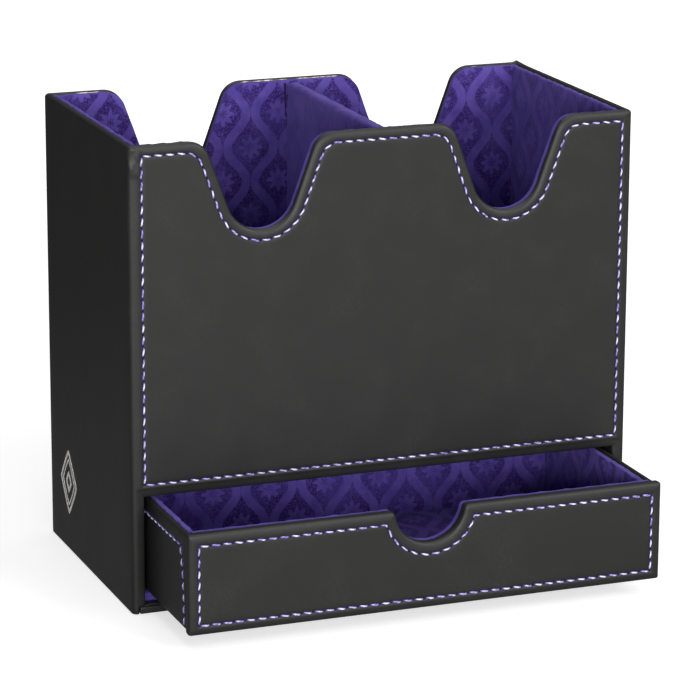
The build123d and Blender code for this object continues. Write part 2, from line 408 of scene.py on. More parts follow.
@dataclass(frozen=True)
class Velour:
    """Short-pile velour with a pressed trellis of waved bands and small flowers.

    The bands follow x = k * spacing +- swing * cos(2 pi v / rise), so that neighbours meet and part by turns.
    """

    name: str = "velour_pressed"
    pressed: Colour = (0.104, 0.073, 0.325)
    pile: Colour = (0.070, 0.046, 0.250)
    deep: Colour = (0.026, 0.011, 0.098)
    patterned: bool = True
    contrast: float = 1.0
    spacing: float = 9.2 * MM
    swing: float = 3.1 * MM
    rise: float = 22 * MM
    band: float = 1.25 * MM
    flower: float = 3.7 * MM
    petals: int = 8
    petal_share: float = 0.22
    heart: Flat = (0.52, 0.66)
    fuzz: float = 0.42 * MM
    nap: float = 7 * MM
    wobble: float = 1.1 * MM
    wobble_size: float = 1.8 * MM
    wear: Flat = (0.6, 1.0)
    wear_size: float = 13 * MM
    band_edge: float = 0.45 * MM
    flower_edge: float = 0.5 * MM
    pile_depth: float = 0.12 * MM
    sheen: Colour = (0.50, 0.40, 1.0)

    def _trellis(self, bench: NodeBench, u: object, v: object) -> tuple[object, object]:
        """Wire the distance to the nearest band, and the distance inside the flower's edge.

        Args:
            bench: The material's bench.
            u: The pattern's first coordinate, in metres.
            v: The pattern's second coordinate, in metres.

        Returns:
            Both distances, in metres.
        """
        column = bench.math("DIVIDE", u, self.spacing)
        nearest = bench.math("ROUND", column)
        odd = bench.math("ABSOLUTE", bench.math("MODULO", nearest, 2.0))
        sign = bench.math("MULTIPLY_ADD", odd, -2.0, 1.0)
        angle = bench.math("MULTIPLY", v, math.tau / self.rise)
        offset = bench.product(bench.math("COSINE", angle), self.swing, sign)
        line = bench.math("MULTIPLY_ADD", nearest, self.spacing, offset)
        slope = bench.product(bench.math("SINE", angle), self.swing * math.tau / self.rise)
        steep = bench.math("SQRT", bench.math("MULTIPLY_ADD", slope, slope, 1.0))
        band = bench.math("DIVIDE", bench.math("ABSOLUTE", bench.math("SUBTRACT", u, line)), steep)

        cell = bench.math("FLOOR", column)
        even = bench.rest(bench.math("ABSOLUTE", bench.math("MODULO", cell, 2.0)))
        across = bench.product(bench.math("SUBTRACT", bench.math("FRACT", column), 0.5), self.spacing)
        row = bench.math("MULTIPLY_ADD", even, 0.5, bench.math("DIVIDE", v, self.rise))
        up = bench.product(bench.math("SUBTRACT", row, bench.math("ROUND", row)), self.rise)
        reach = bench.math("SQRT", bench.math("MULTIPLY_ADD", across, across, bench.product(up, up)))
        turn = bench.product(bench.math("ARCTAN2", up, across), float(self.petals))
        petal, core = self.flower * self.petal_share, self.flower * (1 - self.petal_share)
        edge = bench.math("MULTIPLY_ADD", bench.math("COSINE", turn), petal, core)
        return band, bench.math("SUBTRACT", edge, reach)

    def material(self) -> Material:
        """Return the finish as a material."""
        bench = NodeBench(self.name)
        place = bench.place()
        fuzz = bench.noise(place, self.fuzz, 3.0, 0.75)
        nap = bench.smooth(bench.noise(place, self.nap, 5.0, 0.62), 0.3, 0.68)
        tone = bench.math("MULTIPLY_ADD", bench.math("SUBTRACT", fuzz, 0.5), 0.9, nap)
        brushed = bench.mix(bench.stretch(tone, 0.0, 1.0), opaque(self.pile), opaque(self.pressed))
        height = bench.product(fuzz, 0.45)
        colour = brushed
        if self.patterned:
            drift = bench.noise(place, self.wobble_size, 3.0, 0.7)
            wobble = bench.math("MULTIPLY_ADD", drift, self.wobble, -self.wobble / 2)
            across, along = bench.sheet("weave")
            u, v = bench.math("ADD", across, wobble), bench.math("ADD", along, wobble)
            band, petal = self._trellis(bench, u, v)
            flat_part = bench.rest(bench.smooth(bench.sheet("edge")[0], 0.25, 0.6))
            ground = bench.smooth(band, self.band, self.band + self.band_edge)
            bare = bench.rest(bench.smooth(petal, -self.flower_edge, 0.0))
            heart = bench.smooth(petal, self.flower * self.heart[0], self.flower * self.heart[1])
            raised = bench.product(bench.math("MAXIMUM", bench.product(ground, bare), heart), flat_part)
            speckle = bench.stretch(bench.smooth(fuzz, 0.38, 0.56), 0.10, 1.0)
            worn = bench.smooth(bench.noise(place, self.wear_size, 2.0), 0.30, 0.62)
            faded = bench.product(bench.stretch(worn, *self.wear), self.contrast)
            colour = bench.mix(bench.product(raised, speckle, faded), brushed, opaque(self.deep))
            height = bench.math("MULTIPLY_ADD", raised, 0.6, height)
        return bench.principled(
            Base_Color=colour,
            Roughness=0.85,
            Specular_IOR_Level=0.05,
            Sheen_Weight=0.22,
            Sheen_Roughness=0.45,
            Sheen_Tint=opaque(self.sheen),
            Normal=bench.bump(height, self.pile_depth),
        )


@dataclass(frozen=True)
class Thread:
    """Glossy two-ply sewing thread, with painted light: each stitch's middle and one side are painted lighter
    as a painted highlight, and its ends and ply grooves darker as painted shade.
    """

    name: str = "lavender_thread"
    colour: Colour = (0.245, 0.220, 0.62)
    painted_glint: Colour = (0.76, 0.74, 1.0)
    shade: Colour = (0.055, 0.030, 0.21)
    sheen: Colour = (0.8, 0.76, 1.0)
    roughness: float = 0.30
    turns: float = 1.0
    fibre: float = 0.16 * MM
    uneven: float = 2.6 * MM
    relief: float = 0.04 * MM

    def material(self) -> Material:
        """Return the finish as a material.

        The flat map "thread" runs along each stitch from 0 to 1, and once round it.
        """
        bench = NodeBench(self.name)
        place = bench.place()
        along, round_it = bench.sheet("thread")
        # Painted light: the stitch's middle is painted lighter and its ends darker, as painted highlight and
        # painted shade.
        crown = bench.math("SINE", bench.product(along, math.pi))
        lit = bench.smooth(crown, 0.08, 0.62)
        coil = bench.math("SUBTRACT", round_it, bench.product(along, self.turns))
        ply = bench.math("COSINE", bench.product(coil, 2 * math.tau))
        # The grooves between the plies are painted darker as painted shade, and also bump the surface.
        groove = bench.smooth(ply, -1.1, -0.3)
        fibre = bench.noise(place, self.fibre, 2.0, 0.6)
        tone = bench.smooth(bench.noise(place, self.uneven, 1.0, 0.5), 0.36, 0.56)
        body = bench.mix(bench.product(lit, groove), opaque(self.shade), opaque(self.colour))
        # One side of each stitch's middle is painted near white: a painted highlight.
        lit_side = bench.smooth(bench.math("SINE", bench.product(round_it, math.tau)), 0.45, 0.95)
        painted_shine = bench.product(bench.smooth(crown, 0.35, 0.95), lit_side, tone)
        return bench.principled(
            Base_Color=bench.mix(painted_shine, body, opaque(self.painted_glint)),
            Roughness=self.roughness,
            Sheen_Weight=0.2,
            Sheen_Tint=opaque(self.sheen),
            Normal=bench.bump(bench.math("ADD", fibre, groove), self.relief),
        )


@dataclass(frozen=True)
class PaintedShade:
    """Dark matt colour where the thread dives into its needle hole and beside the divider: painted shade in
    these hollows.
    """

    name: str = "painted_shade_in_holes"
    colour: Colour = (0.012, 0.005, 0.028)
    light: Colour = (0.040, 0.018, 0.085)

    def material(self) -> Material:
        """Return the finish as a material."""
        bench = NodeBench(self.name)
        mottle = bench.noise(bench.place(), 0.7 * MM, 2.0, 0.6)
        colour = bench.mix(bench.smooth(mottle, 0.4, 0.7), opaque(self.colour), opaque(self.light))
        return bench.principled(Base_Color=colour, Roughness=0.9, Specular_IOR_Level=0.2)


@dataclass(frozen=True)
class GreyBoard:
    """Pressed grey board with fibres and flecks."""

    name: str = "grey_board"
    colour: Colour = (0.30, 0.285, 0.26)
    fleck: Colour = (0.17, 0.155, 0.14)

    def material(self) -> Material:
        """Return the finish as a material."""
        bench = NodeBench(self.name)
        place = bench.place()
        fibre = bench.noise(place, 0.7 * MM, 5.0, 0.7)
        colour = bench.mix(bench.smooth(fibre, 0.45, 0.72), opaque(self.colour), opaque(self.fleck))
        return bench.principled(Base_Color=colour, Roughness=0.9, Normal=bench.bump(fibre, 0.03 * MM))


@dataclass(frozen=True)
class PaleHighlight:
    """Pale colour for strips along the back rim, a painted highlight where the rim reflects the bright
    backdrop, with darker blots and glossier patches.
    """

    name: str = "pale_card_edge"
    colour: Colour = (0.80, 0.76, 0.70)
    stain: Colour = (0.33, 0.22, 0.17)

    def material(self) -> Material:
        """Return the finish as a material."""
        bench = NodeBench(self.name)
        blot = bench.noise(bench.place(), 1.6 * MM, 4.0, 0.7)
        share = bench.smooth(blot, 0.48, 0.62)
        return bench.principled(
            Base_Color=bench.mix(share, opaque(self.colour), opaque(self.stain)),
            Roughness=bench.stretch(blot, 0.15, 0.6),
            Normal=bench.bump(blot, 0.05 * MM),
        )


@dataclass(frozen=True)
class SilverFoil:
    """Hot-stamped foil, bright with small dull patches."""

    name: str = "silver_foil"
    colour: Colour = (0.92, 0.89, 0.87)
    dull: Colour = (0.52, 0.49, 0.48)

    def material(self) -> Material:
        """Return the finish as a material."""
        bench = NodeBench(self.name)
        mottle = bench.noise(bench.place(), 0.9 * MM, 4.0, 0.65)
        share = bench.smooth(mottle, 0.4, 0.7)
        return bench.principled(
            Base_Color=bench.mix(share, opaque(self.colour), opaque(self.dull)),
            Metallic=0.2,
            Roughness=bench.stretch(share, 0.28, 0.5),
            Normal=bench.bump(mottle, 0.02 * MM),
        )


class MeshDraft:
    """Collects points and faces, and makes one clean mesh of them."""

    def __init__(self) -> None:
        """Start with nothing."""
        self.points: list[Point] = []
        self.faces: list[tuple[int, ...]] = []
        self.marks: dict[int, Flat] = {}

    def tube(self, rings: Sequence[Sequence[Point]]) -> None:
        """Join rings of points into a closed tube, marked along and round it from 0 to 1.

        Args:
            rings: Rings with the same number of points each.
        """
        first = len(self.points)
        self.grid(rings, closed=True)
        for r, ring in enumerate(rings):
            for s in range(len(ring)):
                self.marks[first + r * len(ring) + s] = (r / (len(rings) - 1), s / len(ring))
        for end, ring in ((0.0, rings[0]), (1.0, rings[-1])):
            start = len(self.points)
            self.cap(ring)
            self.marks.update({start + s: (end, 0.0) for s in range(len(ring))})

    def grid(self, rows: Sequence[Sequence[Point]], closed: bool = False) -> None:
        """Join rows of points with four-sided faces.

        Args:
            rows: Rows with the same number of points each.
            closed: Whether each row's last point joins its first.
        """
        first = len(self.points)
        width = len(rows[0])
        for row in rows:
            self.points.extend(row)
        span = width if closed else width - 1
        for r in range(len(rows) - 1):
            near, far = first + r * width, first + (r + 1) * width
            for c in range(span):
                n = (c + 1) % width
                self.faces.append((near + c, near + n, far + n, far + c))

    def cap(self, ring: Sequence[Point]) -> None:
        """Close a small ring with one face."""
        first = len(self.points)
        self.points.extend(ring)
        self.faces.append(tuple(range(first, first + len(ring))))

    def fill(self, ring: Sequence[Flat], lift: Callable[[Flat], Point], spacing: float) -> None:
        """Fill a flat outline with triangles on an even net of points.

        Args:
            ring: The outline, without repeated points.
            lift: Turns a flat point into a point in space.
            spacing: The distance between the net's points.
        """
        outline = np.array(ring)
        low, high = outline.min(0), outline.max(0)
        columns = np.arange(low[0] + spacing / 2, high[0], spacing)
        levels = np.arange(low[1] + spacing / 2, high[1], spacing)
        net = np.array([(x, z) for z in levels for x in columns]).reshape(-1, 2)
        keep = [p for p in net if inside(outline, p) and np.hypot(*(outline - p).T).min() > 0.45 * spacing]
        count = len(ring)
        edges = [(k, (k + 1) % count) for k in range(count)]
        flat = [Vector(p) for p in ring] + [Vector((float(p[0]), float(p[1]))) for p in keep]
        made = delaunay_2d_cdt(flat, edges, [], 1, 1e-9)
        first = len(self.points)
        self.points.extend(lift((p.x, p.y)) for p in made[0])
        self.faces.extend(tuple(first + k for k in face) for face in made[2])

    def build(
        self,
        name: str,
        material: Material,
        weave: Optional[Weave] = None,
        warp: Optional[Warp] = None,
        crease: float = 50.0,
    ) -> Object:
        """Weld the points and make the object.

        Args:
            name: The piece's name.
            material: Its finish.
            weave: The axes of its pattern, if it has one.
            warp: Moves each welded point by what it returns.
            crease: The angle in degrees above which an edge stays sharp.

        Returns:
            The new object.
        """
        mesh = bpy.data.meshes.new(name)
        mesh.from_pydata(self.points, [], self.faces)
        if self.marks:
            lay_map(mesh, "thread", lambda k: self.marks.get(k, (0.0, 0.0)))
        draft = bmesh.new()
        draft.from_mesh(mesh)
        bmesh.ops.remove_doubles(draft, verts=draft.verts, dist=WELD)
        bmesh.ops.dissolve_degenerate(draft, edges=draft.edges, dist=WELD / 2)
        loose = [v for v in draft.verts if not v.link_faces]
        bmesh.ops.delete(draft, geom=loose, context="VERTS")
        if warp is not None:
            for vertex in draft.verts:
                vertex.co += warp(vertex.co)
        bmesh.ops.recalc_face_normals(draft, faces=draft.faces)
        draft.to_mesh(mesh)
        draft.free()
        mesh.materials.append(material)
        mesh.shade_smooth()
        mesh.set_sharp_from_angle(angle=math.radians(crease))
        if weave is not None:
            lay_weave(mesh, weave)
        made = bpy.data.objects.new(name, mesh)
        bpy.context.scene.collection.objects.link(made)
        return made


def lay_map(mesh: bpy.types.Mesh, name: str, place: Callable[[int], Flat]) -> None:
    """Add a flat map to a mesh, from a rule that turns a vertex number into a place."""
    layer = mesh.uv_layers.new(name=name)
    for loop in mesh.loops:
        layer.data[loop.index].uv = place(loop.vertex_index)


def lay_weave(mesh: bpy.types.Mesh, weave: Weave) -> None:
    """Lay a velour's pattern on a mesh, and mark where its surface turns away from the pattern's plane.

    Args:
        mesh: The mesh.
        weave: The axes that the pattern runs along.
    """
    first, second = weave.value
    third = 3 - first - second
    points = [v.co.copy() for v in mesh.vertices]
    turned = [1.0 - abs(v.normal[third]) for v in mesh.vertices]
    lay_map(mesh, "weave", lambda k: (points[k][first], points[k][second]))
    lay_map(mesh, "edge", lambda k: (turned[k], 0.0))


def inside(outline: np.ndarray, point: Sequence[float]) -> bool:
    """Return whether a point lies inside a closed outline."""
    x, z = point
    a, b = outline, np.roll(outline, -1, axis=0)
    spans = (a[:, 1] > z) != (b[:, 1] > z)
    drop = np.where(spans, b[:, 1] - a[:, 1], 1.0)
    cross = a[:, 0] + (z - a[:, 1]) * (b[:, 0] - a[:, 0]) / drop
    return bool(np.count_nonzero(spans & (x < cross)) % 2)


def thicken(piece: Object, thickness: float) -> Object:
    """Give an open sheet its thickness, inwards, and keep the result as its mesh.

    Args:
        piece: The sheet.
        thickness: Its thickness.

    Returns:
        The same object.
    """
    modifier = piece.modifiers.new("thickness", "SOLIDIFY")
    modifier.thickness = thickness
    modifier.offset = -1.0
    graph = bpy.context.evaluated_depsgraph_get()
    solid = bpy.data.meshes.new_from_object(piece.evaluated_get(graph))
    piece.modifiers.clear()
    old, piece.data = piece.data, solid
    bpy.data.meshes.remove(old)
    solid.name = piece.name
    return piece


def seat(piece: Object, body: Body, slot: Slot, *nodes: str) -> None:
    """Put a finished piece in the assembly and report it.

    Args:
        piece: The piece.
        body: The body that it moves with.
        slot: The record's slot for its finish.
        *nodes: The frame's nodes that it stands for.
    """
    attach(piece, body.value)
    if nodes:
        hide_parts(*nodes)
    log.info("%s: %d faces, on the %s", piece.name, len(piece.data.polygons), body.value)


@dataclass(frozen=True)
class Margins:
    """How far a line lies inside each edge of a panel."""

    left: float
    right: float
    bottom: float
    top: float

    @classmethod
    def even(cls, amount: float) -> Margins:
        """Return the same margin on every edge."""
        return cls(amount, amount, amount, amount)

    def grown(self, amount: float) -> Margins:
        """Return margins that lie further in by an amount."""
        return Margins(self.left + amount, self.right + amount, self.bottom + amount, self.top + amount)

    def towards(self, other: Margins, share: float) -> Margins:
        """Return margins a share of the way to others."""
        return Margins(
            blend(self.left, other.left, share),
            blend(self.right, other.right, share),
            blend(self.bottom, other.bottom, share),
            blend(self.top, other.top, share),
        )


@dataclass(frozen=True)
class Scoop:
    """A finger scoop: a round bottom, two leaning sides and two round lips."""

    centre: float
    depth: float = 27.6 * MM
    bottom_radius: float = 10.8 * MM
    lip_radius: float = 7.0 * MM
    lean: float = math.radians(20.0)
    lip_shrink: float = 0.45
    lip_steps: int = 10
    side_steps: int = 10
    bottom_steps: int = 34

    def edge(self, top: float, margin: float) -> list[Flat]:
        """Return the scoop's edge from lip to lip.

        Args:
            top: The height of the panel's top edge, with no margin.
            margin: How far inside the panel's edge the line lies.

        Returns:
            The points, with both ends.
        """
        middle = top - self.depth + self.bottom_radius
        radius = self.bottom_radius + margin
        touch_x = radius * math.cos(self.lean)
        touch_z = middle - radius * math.sin(self.lean)
        corner_x = touch_x + (top - margin - touch_z) * math.tan(self.lean)
        lip = self.lip_radius - self.lip_shrink * margin
        lip_x = corner_x + lip * math.tan((math.pi / 2 - self.lean) / 2)
        lip_z = top - margin - lip
        half = arc((lip_x, lip_z), lip, math.pi / 2, math.pi - self.lean, self.lip_steps)
        base = arc((0.0, middle), radius, -self.lean, -math.pi / 2, self.bottom_steps // 2)
        side = [
            (blend(half[-1][0], base[0][0], s), blend(half[-1][1], base[0][1], s))
            for s in steps(0.0, 1.0, self.side_steps)
        ]
        return mirrored(half[:-1] + side[:-1] + base, self.centre)


@dataclass(frozen=True)
class Notch:
    """A round finger notch with small lips."""

    centre: float
    depth: float = 10.4 * MM
    radius: float = 11.0 * MM
    lip_radius: float = 1.6 * MM
    lip_steps: int = 5
    arc_steps: int = 44

    def edge(self, top: float, margin: float) -> list[Flat]:
        """Return the notch's edge from lip to lip.

        Args:
            top: The height of the panel's top edge, with no margin.
            margin: How far inside the panel's edge the line lies.

        Returns:
            The points, with both ends.
        """
        middle = top - self.depth + self.radius
        radius = self.radius + margin
        lip = max(self.lip_radius - margin, 0.0)
        lip_z = top - margin - lip
        reach = radius + lip
        lip_x = math.sqrt(reach**2 - (lip_z - middle) ** 2)
        touch = math.atan2(lip_z - middle, lip_x)
        half = arc((lip_x, lip_z), lip, math.pi / 2, math.pi + touch, self.lip_steps)
        base = arc((0.0, middle), radius, touch, -math.pi / 2, self.arc_steps // 2)
        return mirrored(half[:-1] + base, self.centre)


@dataclass(frozen=True)
class Panel:
    """The outline of an upright panel in its own plane, at any margins inside its edge."""

    low: Flat
    high: Flat
    cuts: tuple[object, ...]
    bottom_shares: tuple[float, ...]
    side_shares: tuple[float, ...]
    spacing: float

    def top_run(self, margins: Margins) -> list[Flat]:
        """Return the top edge from left to right, with both ends."""
        level = self.high[1] - margins.top
        here = (self.low[0] + margins.left, level)
        nominal = self.low[0]
        run: list[Flat] = []
        for cut in self.cuts:
            edge = cut.edge(self.high[1], margins.top)
            lip = cut.edge(self.high[1], 0.0)
            count = max(2, round((lip[0][0] - nominal) / self.spacing))
            run += [(x, level) for x in steps(here[0], edge[0][0], count)][:-1]
            run += edge[:-1]
            here, nominal = edge[-1], lip[-1][0]
        count = max(2, round((self.high[0] - nominal) / self.spacing))
        return run + [(x, level) for x in steps(here[0], self.high[0] - margins.right, count)]

    def bottom_run(self, margins: Margins) -> list[Flat]:
        """Return the bottom edge from left to right, with both ends."""
        left, right = self.low[0] + margins.left, self.high[0] - margins.right
        return [(blend(left, right, s), self.low[1] + margins.bottom) for s in self.bottom_shares]

    def side_run(self, margins: Margins, side: int) -> list[Flat]:
        """Return the left (-1) or right (1) edge from the bottom up, with both ends."""
        x = self.low[0] + margins.left if side < 0 else self.high[0] - margins.right
        bottom, top = self.low[1] + margins.bottom, self.high[1] - margins.top
        return [(x, blend(bottom, top, s)) for s in self.side_shares]

    def runs(self, margins: Margins) -> list[list[Flat]]:
        """Return the four edges, end to end and counterclockwise from the lower left corner."""
        return [
            self.bottom_run(margins),
            self.side_run(margins, 1),
            self.top_run(margins)[::-1],
            self.side_run(margins, -1)[::-1],
        ]

    def loop(self, margins: Margins) -> list[Flat]:
        """Return the whole outline, counterclockwise, without its last point."""
        return [p for run in self.runs(margins) for p in run[:-1]]


@dataclass(frozen=True)
class Seam:
    """A line of lockstitches with the needle holes between them."""

    pitch: float = 3.5 * MM
    radius: float = 0.31 * MM
    rise: float = 0.24 * MM
    dive: float = 0.38 * MM
    gap: float = 0.22 * MM
    slant: float = 0.21 * MM
    sides: int = 10
    rings: int = 10
    twist: float = 1.5
    ply: float = 0.13
    tip: float = 0.40
    arch: float = 0.55
    flatness: float = 0.8
    lean_spread: Flat = (0.6, 1.35)
    rise_spread: Flat = (0.75, 1.2)
    radius_spread: Flat = (0.92, 1.06)
    crease: float = 80.0
    hole_radius: float = 0.40 * MM
    hole_spread: Flat = (0.85, 1.1)
    hole_height: float = 0.05 * MM
    hole_rim: float = -0.05 * MM
    hole_depth: float = 0.5 * MM
    hole_crown: float = 0.7
    hole_sides: int = 8

    def spread(self, length: float) -> int:
        """Return how many stitches a run of a given length takes."""
        return max(1, round(length / self.pitch))

    def sew(
        self,
        name: str,
        runs: Sequence[Sequence[tuple[Vector, Vector]]],
        body: Body,
        seed: int,
        closed: bool,
        finishes: Finishes,
    ) -> None:
        """Make the stitches and the needle holes of one seam.

        Args:
            name: The seam's name.
            runs: Its runs, each a list of points with the outward direction there.
            body: The body that it moves with.
            seed: Starts the small differences between stitches.
            closed: Whether the last run ends where the first starts.
            finishes: The materials.
        """
        rng = random.Random(seed)
        thread, holes = MeshDraft(), MeshDraft()
        for index, run in enumerate(runs):
            points = np.array([tuple(p) for p, _ in run])
            outward = np.array([tuple(n) for _, n in run])
            marks = travelled(points)
            count = self.spread(marks[-1])
            pitch = marks[-1] / count
            at = _Track(points, outward, marks)
            for k in range(count):
                self._stitch(thread, at, k * pitch, pitch, rng)
            last = count + 1 if index == len(runs) - 1 and not closed else count
            for k in range(last):
                self._hole(holes, at, k * pitch, rng)
        made = [thread.build(name + "_thread", finishes.thread, crease=self.crease)]
        # The needle holes' plugs are painted dark, as painted shade inside the holes.
        made.append(holes.build(name + "_needle_holes", finishes.thread_shadow, crease=self.crease))
        for piece in made:
            seat(piece, body, Slot.THREAD)

    def _stitch(self, draft: MeshDraft, at: _Track, start: float, pitch: float, rng: random.Random) -> None:
        """Add one stitch, a short two-ply cord that dives at both ends."""
        lean = self.slant * rng.uniform(*self.lean_spread)
        rise = self.rise * rng.uniform(*self.rise_spread)
        phase = rng.uniform(0.0, math.pi)
        radius = self.radius * rng.uniform(*self.radius_spread)
        rows: list[list[Point]] = []
        for t in steps(0.0, 1.0, self.rings - 1):
            centre, along, out = at.frame(start + self.gap + (pitch - 2 * self.gap) * t)
            across = np.cross(along, out)
            arch = math.sin(math.pi * t) ** self.arch
            middle = centre + out * blend(-self.dive, rise, arch) + across * lean * (2 * t - 1)
            swell = radius * blend(self.tip, 1.0, arch)
            ring: list[Point] = []
            for s in range(self.sides):
                a = math.tau * s / self.sides
                r = swell * (1 + self.ply * math.cos(2 * (a - phase - math.tau * self.twist * t)))
                ring.append(tuple(middle + r * (math.cos(a) * across + self.flatness * math.sin(a) * out)))
            rows.append(ring)
        draft.tube(rows)

    def _hole(self, draft: MeshDraft, at: _Track, place: float, rng: random.Random) -> None:
        """Add one needle hole's plug of sunken thread, painted dark as painted shade inside the hole."""
        centre, along, out = at.frame(place)
        across = np.cross(along, out)
        radius = self.hole_radius * rng.uniform(*self.hole_spread)
        section = ((1.0, -self.hole_depth), (1.0, self.hole_rim), (self.hole_crown, self.hole_height))
        rows: list[list[Point]] = []
        for share, height in section:
            rows.append([
                tuple(centre + out * height + radius * share * (c * across + s * along))
                for c, s in around(self.hole_sides)
            ])
        draft.grid(rows, closed=True)
        draft.cap(rows[0])
        draft.cap(rows[-1])


@dataclass(frozen=True)
class _Track:
    """A run of points that can be read at any distance along it."""

    points: np.ndarray
    outward: np.ndarray
    marks: np.ndarray
    look: float = 0.3 * MM

    def frame(self, distance: float) -> tuple[np.ndarray, np.ndarray, np.ndarray]:
        """Return the place, the direction of travel and the outward direction at a distance."""
        place, out = self._read(self.points, distance), self._read(self.outward, distance)
        near = min(max(distance, self.marks[0] + self.look), self.marks[-1] - self.look)
        along = self._read(self.points, near + self.look) - self._read(self.points, near - self.look)
        return place, along / np.linalg.norm(along), out / np.linalg.norm(out)

    def _read(self, values: np.ndarray, distance: float) -> np.ndarray:
        """Return the value between two points at a distance."""
        return np.array([np.interp(distance, self.marks, values[:, k]) for k in range(3)])


@dataclass(frozen=True)
class Roll:
    """The soft roll between a panel's edge and its seam, and the groove at the seam.

    Heights are above the panel's flat face.
    """

    shares: tuple[float, ...] = (0.0, 0.2, 0.4, 0.58, 0.73, 0.86, 0.95, 1.0)
    heights: tuple[float, ...] = (-0.06, 0.05, 0.11, 0.12, 0.07, -0.03, -0.12, -0.15)
    inner_gaps: tuple[float, ...] = (0.18, 0.4, 0.7, 1.1, 1.7, 2.6)
    inner_heights: tuple[float, ...] = (-0.15, -0.09, -0.04, -0.012, 0.0, 0.0)
    pucker: float = 0.05 * MM

    def rows(self, edge: Margins, seam: Margins) -> list[tuple[Margins, float, float]]:
        """Return each row's margins, height and closeness to the seam, from the edge inwards."""
        outer = [
            (edge.towards(seam, s), h * MM, 1.0 if s > 0.8 else 0.0)
            for s, h in zip(self.shares, self.heights)
        ]
        inner = [
            (seam.grown(gap * MM), h * MM, fade(gap, 0.5))
            for gap, h in zip(self.inner_gaps, self.inner_heights)
        ]
        return outer + inner


@dataclass(frozen=True)
class SeamedFace:
    """The outer face of a panel with its roll, its seam and the flat field inside."""

    panel: Panel
    edge: Margins
    seam: Margins
    plane: float
    face: Face
    roll: Roll = Roll()
    stitches: Seam = Seam()
    net: float = 9 * MM
    thread_height: float = -0.10 * MM

    def lift(self, flat: Flat, height: float = 0.0) -> Point:
        """Return a flat point in space, a height above the face."""
        return (flat[0], self.plane + self.face.value * height, flat[1])

    def _phases(self) -> list[float]:
        """Return each loop point's place in its stitch, from 0 to 1 between two needle holes."""
        phases: list[float] = []
        for run in self.panel.runs(self.seam):
            marks = travelled(np.array(run))
            count = self.stitches.spread(marks[-1])
            phases += list((marks[:-1] / marks[-1] * count) % 1.0)
        return phases

    def cover(self, draft: MeshDraft) -> None:
        """Add the face to a mesh draft."""
        pinch = [0.5 + 0.5 * math.cos(math.tau * p) for p in self._phases()]
        rows: list[list[Point]] = []
        for margins, height, close in self.roll.rows(self.edge, self.seam):
            rows.append([
                self.lift(p, height - self.roll.pucker * close * q)
                for p, q in zip(self.panel.loop(margins), pinch)
            ])
        draft.grid(rows, closed=True)
        last = self.seam.grown(self.roll.inner_gaps[-1] * MM)
        draft.fill(self.panel.loop(last), self.lift, self.net)

    def seam_runs(self) -> list[list[tuple[Vector, Vector]]]:
        """Return the seam's runs with the outward direction, for the stitches."""
        out = Vector((0.0, float(self.face.value), 0.0))
        return [
            [(Vector(self.lift(p, self.thread_height)), out) for p in run]
            for run in self.panel.runs(self.seam)
        ]


@dataclass(frozen=True)
class Finishes:
    """The materials that the pieces share."""

    leather: Material
    lining: Material
    faint_lining: Material
    plain_lining: Material
    thread: Material
    thread_shadow: Material
    board: Material
    card: Material
    foil: Material

    @classmethod
    def prepare(cls) -> Finishes:
        """Make every material once."""
        return cls(
            leather=Leatherette().material(),
            lining=Velour().material(),
            faint_lining=Velour(name="velour_faint", contrast=0.55).material(),
            plain_lining=Velour(name="velour_plain", patterned=False).material(),
            thread=Thread().material(),
            thread_shadow=PaintedShade().material(),
            board=GreyBoard().material(),
            card=PaleHighlight().material(),
            foil=SilverFoil().material(),
        )


@dataclass(frozen=True)
class RimProfile:
    """The section of a wrapped wall's rim, in millimetres.

    Each pair is a distance in from the rim and a depth behind the face. The first depth is the one that
    the face's own roll starts with, so that no crack shows between them.
    """

    lead: tuple[Flat, ...] = ((0.90, 0.06), (0.50, 0.26), (0.22, 0.52), (0.05, 0.88), (0.0, 1.18))
    tail: tuple[Flat, ...] = ((0.05, 1.48), (0.22, 1.90), (0.50, 2.15), (0.90, 2.30))
    turn_in: float = 6.0

    def over(self) -> list[Flat]:
        """Return the whole section, with the edge turned in behind the wall."""
        deepest = self.tail[-1][1]
        pairs = self.lead + self.tail + ((self.turn_in / 2, deepest), (self.turn_in, deepest))
        return [(d * MM, e * MM) for d, e in pairs]

    def first(self) -> list[Flat]:
        """Return the section's leading half."""
        return [(d * MM, e * MM) for d, e in self.lead]


